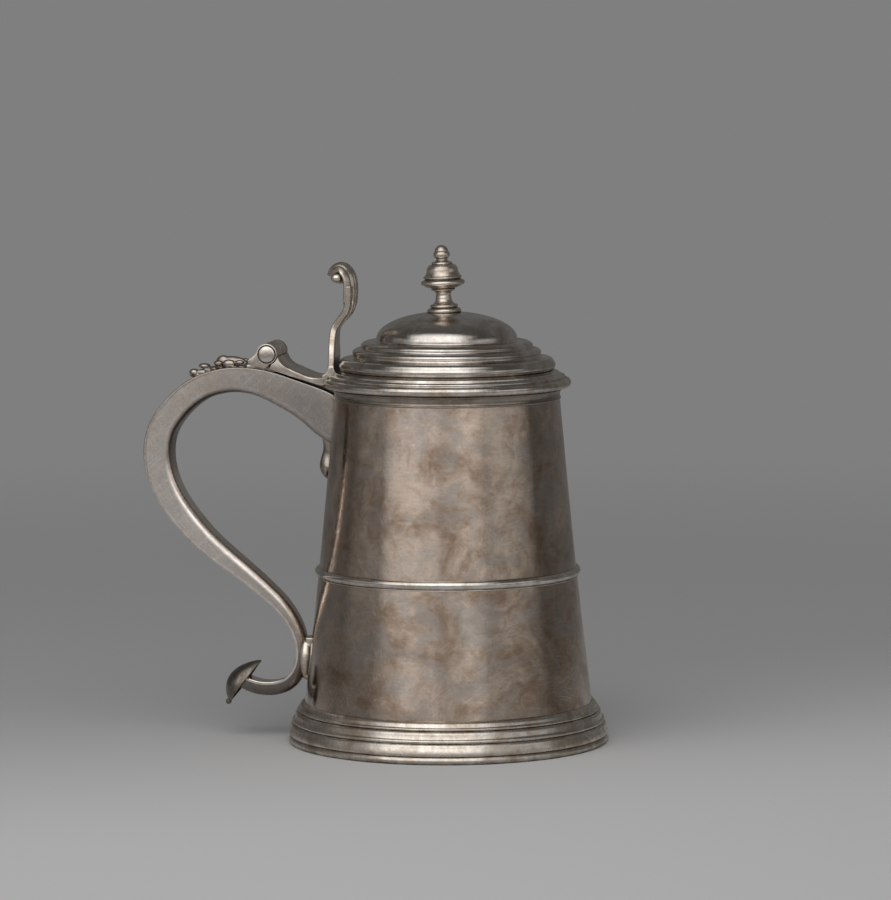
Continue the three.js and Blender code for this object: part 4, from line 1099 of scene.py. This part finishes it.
def make_thumbpiece():
    stem = swept("stem", thumb_stations(0, 8, 0.0), [
        (-1, 0.12), (-0.92, 0), (0.92, 0), (1, 0.12), (1, 0.88), (0.92, 1), (-0.92, 1), (-1, 0.88),
    ])
    head = thumb_head()
    thumb = join("thumbpiece_cast", stem, *thumb_roll(), thumb_foot())
    cast(thumb, 0.22, 9)
    low, out = FLANGE_UNDERSIDE, FLANGE_RADIUS
    cut(thumb, turned("cover_tool", [
        (0, low), (out - 3, low), (out - 4.5, low + 4.8), (COVER_RADIUS, low + 6.5),
        (COVER_RADIUS + 0.1, low + 11), (0, low + 14),
    ]))
    join("thumbpiece_cast", thumb, head)
    finish(thumb, "lid", CAST_SILVER, "silver_cast", "thumbpiece", smooth=60)


# ---- Floor, light and camera ----

BACKGROUND = (0.212, 0.212, 0.212, 1)
ROOM = (0.06, 0.058, 0.056, 1)
BEHIND = (0.125, 0.123, 0.12, 1)
SOFT_LIGHT = (0.22, 0.22, 0.22, 1)
# Painted light and shade on the floor: lighter in front of the tankard, darker behind it
FLOOR_LIT_FRONT = (0.58, 0.58, 0.58, 1)
FLOOR_SHADED_BACK = (0.41, 0.41, 0.41, 1)

# Where the mirrored room turns lighter, from in front to behind
ROOM_DEPTH = (-0.3, 0.7)

# The floor, in metres: its radius, how far out it fades into the background, and how far back its painted
# shade turns it darker, on a line that slants by FLOOR_SLOPE
FLOOR_RADIUS = 60.0
FLOOR_FADE = (0.15, 1.3)
FLOOR_SHADE_SPAN = (-0.25, 0.25)
FLOOR_SLOPE = 0.6

# Height that the lamps face
LIT_HEIGHT = 100.0


def make_floor():
    """Grey paper that fades into the background, with painted light in front of the tankard and painted
    shade behind it.
    """
    bpy.ops.object.select_all(action="DESELECT")
    bpy.ops.mesh.primitive_circle_add(vertices=64, radius=FLOOR_RADIUS, fill_type="NGON")
    floor = bpy.context.object
    floor.name = "floor"
    material = bpy.data.materials.new("floor_paper")
    material.use_nodes = True
    tree = material.node_tree
    shader = tree.nodes["Principled BSDF"]
    shader.inputs["Roughness"].default_value = 0.9
    shader.inputs["Specular IOR Level"].default_value = 0.1
    place = put(tree, "ShaderNodeTexCoord").outputs["Object"]
    far = ranged(tree, measured(tree, "LENGTH", place), *FLOOR_FADE, way="SMOOTHSTEP")
    parts = put(tree, "ShaderNodeSeparateXYZ", {"Vector": place}).outputs
    # Painted shade: the floor turns darker behind the tankard
    depth = sums(tree, "SUBTRACT", parts["Y"], times(tree, parts["X"], FLOOR_SLOPE))
    behind = ranged(tree, depth, *FLOOR_SHADE_SPAN, way="SMOOTHSTEP")
    tree.links.new(mixed(tree, behind, FLOOR_LIT_FRONT, FLOOR_SHADED_BACK), shader.inputs["Base Color"])
    rays = put(tree, "ShaderNodeLightPath").outputs
    seen = sums(tree, "MAXIMUM", rays["Is Camera Ray"], rays["Is Glossy Ray"])
    seen = sums(tree, "MAXIMUM", seen, rays["Is Transmission Ray"])
    paleness = mixed(tree, rays["Is Glossy Ray"], BACKGROUND, BEHIND)
    glow = put(tree, "ShaderNodeEmission", {"Color": paleness, "Strength": 1.0}).outputs["Emission"]
    mix = put(tree, "ShaderNodeMixShader", {0: times(tree, far, seen),
                                            1: shader.outputs["BSDF"], 2: glow})
    tree.links.new(mix.outputs["Shader"], tree.nodes["Material Output"].inputs["Surface"])
    floor.data.materials.append(material)


def make_world():
    """A plain grey for the camera and soft light all round; the silver mirrors a darker room."""
    world = bpy.data.worlds.new("studio")
    bpy.context.scene.world = world
    world.use_nodes = True
    tree = world.node_tree
    rays = put(tree, "ShaderNodeLightPath").outputs
    way = put(tree, "ShaderNodeTexCoord").outputs["Generated"]
    depth = put(tree, "ShaderNodeSeparateXYZ", {"Vector": way}).outputs["Y"]
    behind = ranged(tree, depth, *ROOM_DEPTH)
    room = mixed(tree, behind, ROOM, BEHIND)
    colour = mixed(tree, rays["Is Glossy Ray"], SOFT_LIGHT, room)
    plain = sums(tree, "MAXIMUM", rays["Is Camera Ray"], rays["Is Transmission Ray"])
    colour = mixed(tree, plain, colour, BACKGROUND)
    tree.links.new(colour, tree.nodes["Background"].inputs["Color"])


def softbox(name, turn_by, rise, distance, width, tall, radiance):
    """A lamp with soft edges that faces the tankard.

    Its turn is in degrees from the camera, positive to the right, and its rise in degrees. Its
    distance, width and height are in metres.
    """
    lamp = bpy.data.lights.new(name, "AREA")
    lamp.shape = "RECTANGLE"
    lamp.size = width
    lamp.size_y = tall
    lamp.energy = radiance * math.pi * width * tall
    lamp.use_nodes = True
    tree = lamp.node_tree
    across = put(tree, "ShaderNodeNewGeometry").outputs["Parametric"]
    parts = put(tree, "ShaderNodeSeparateXYZ", {"Vector": across}).outputs
    edges = []
    for label in "XY":
        off_middle = sums(tree, "ABSOLUTE", ranged(tree, parts[label], 0.0, 1.0, -1.0, 1.0))
        edges.append(sums(tree, "SUBTRACT", 1.0, sums(tree, "POWER", off_middle, 2.0)))
    tree.links.new(times(tree, *edges), tree.nodes["Emission"].inputs["Strength"])
    piece = bpy.data.objects.new(name, lamp)
    bpy.context.scene.collection.objects.link(piece)
    angle, tilt = CAMERA_TURN + math.radians(turn_by), math.radians(rise)
    way = Vector((math.sin(angle) * math.cos(tilt), -math.cos(angle) * math.cos(tilt), math.sin(tilt)))
    piece.location = at(0, 0, LIT_HEIGHT) + way * distance
    piece.rotation_euler = (-way).to_track_quat("-Z", "Y").to_euler()


def make_lights():
    softbox("left_softbox", -35, 15, 1.5, 1.66, 1.1, 0.92)
    softbox("front_softbox", 7, 14, 1.6, 1.7, 1.1, 0.66)
    softbox("right_softbox", 50, 15, 1.5, 2.6, 1.1, 0.5)
    softbox("side_softbox", -74, 15, 1.5, 1.6, 1.1, 0.28)
    softbox("overhead_softbox", -14, 48, 1.6, 3.2, 2.4, 1.62)


def make_camera():
    camera = bpy.data.objects.new("camera", bpy.data.cameras.new("camera"))
    bpy.context.scene.collection.objects.link(camera)
    side = Vector((math.sin(CAMERA_TURN), -math.cos(CAMERA_TURN), 0))
    camera.location = at(0, 0, CAMERA_HEIGHT) + side * CAMERA_DISTANCE * MM
    way = at(0, 0, LOOK_HEIGHT) - camera.location
    facing = way.to_track_quat("-Z", "Y").to_matrix()
    camera.rotation_euler = (facing @ Matrix.Rotation(-CAMERA_ROLL, 3, "Z")).to_euler()
    camera.data.sensor_fit = "VERTICAL"
    camera.data.sensor_height = SENSOR
    camera.data.lens = LENS
    camera.data.shift_x = SHIFT[0]
    camera.data.shift_y = SHIFT[1]
    camera.data.clip_end = CLIP_END
    bpy.context.scene.camera = camera


make_camera()
make_drum()
make_bottom()
make_foot_ring()
make_foot()
make_mid_band()
make_rim()
make_flange()
make_cover()
make_bezel()
make_finial()
make_washer()
make_strap()
make_channel()
make_tail()
make_strut()
make_terminal()
make_hinge_drop()
make_hinge()
make_leaf()
make_thumbpiece()
make_floor()
make_world()
make_lights()
bpy.context.scene.view_settings.view_transform = "Standard"
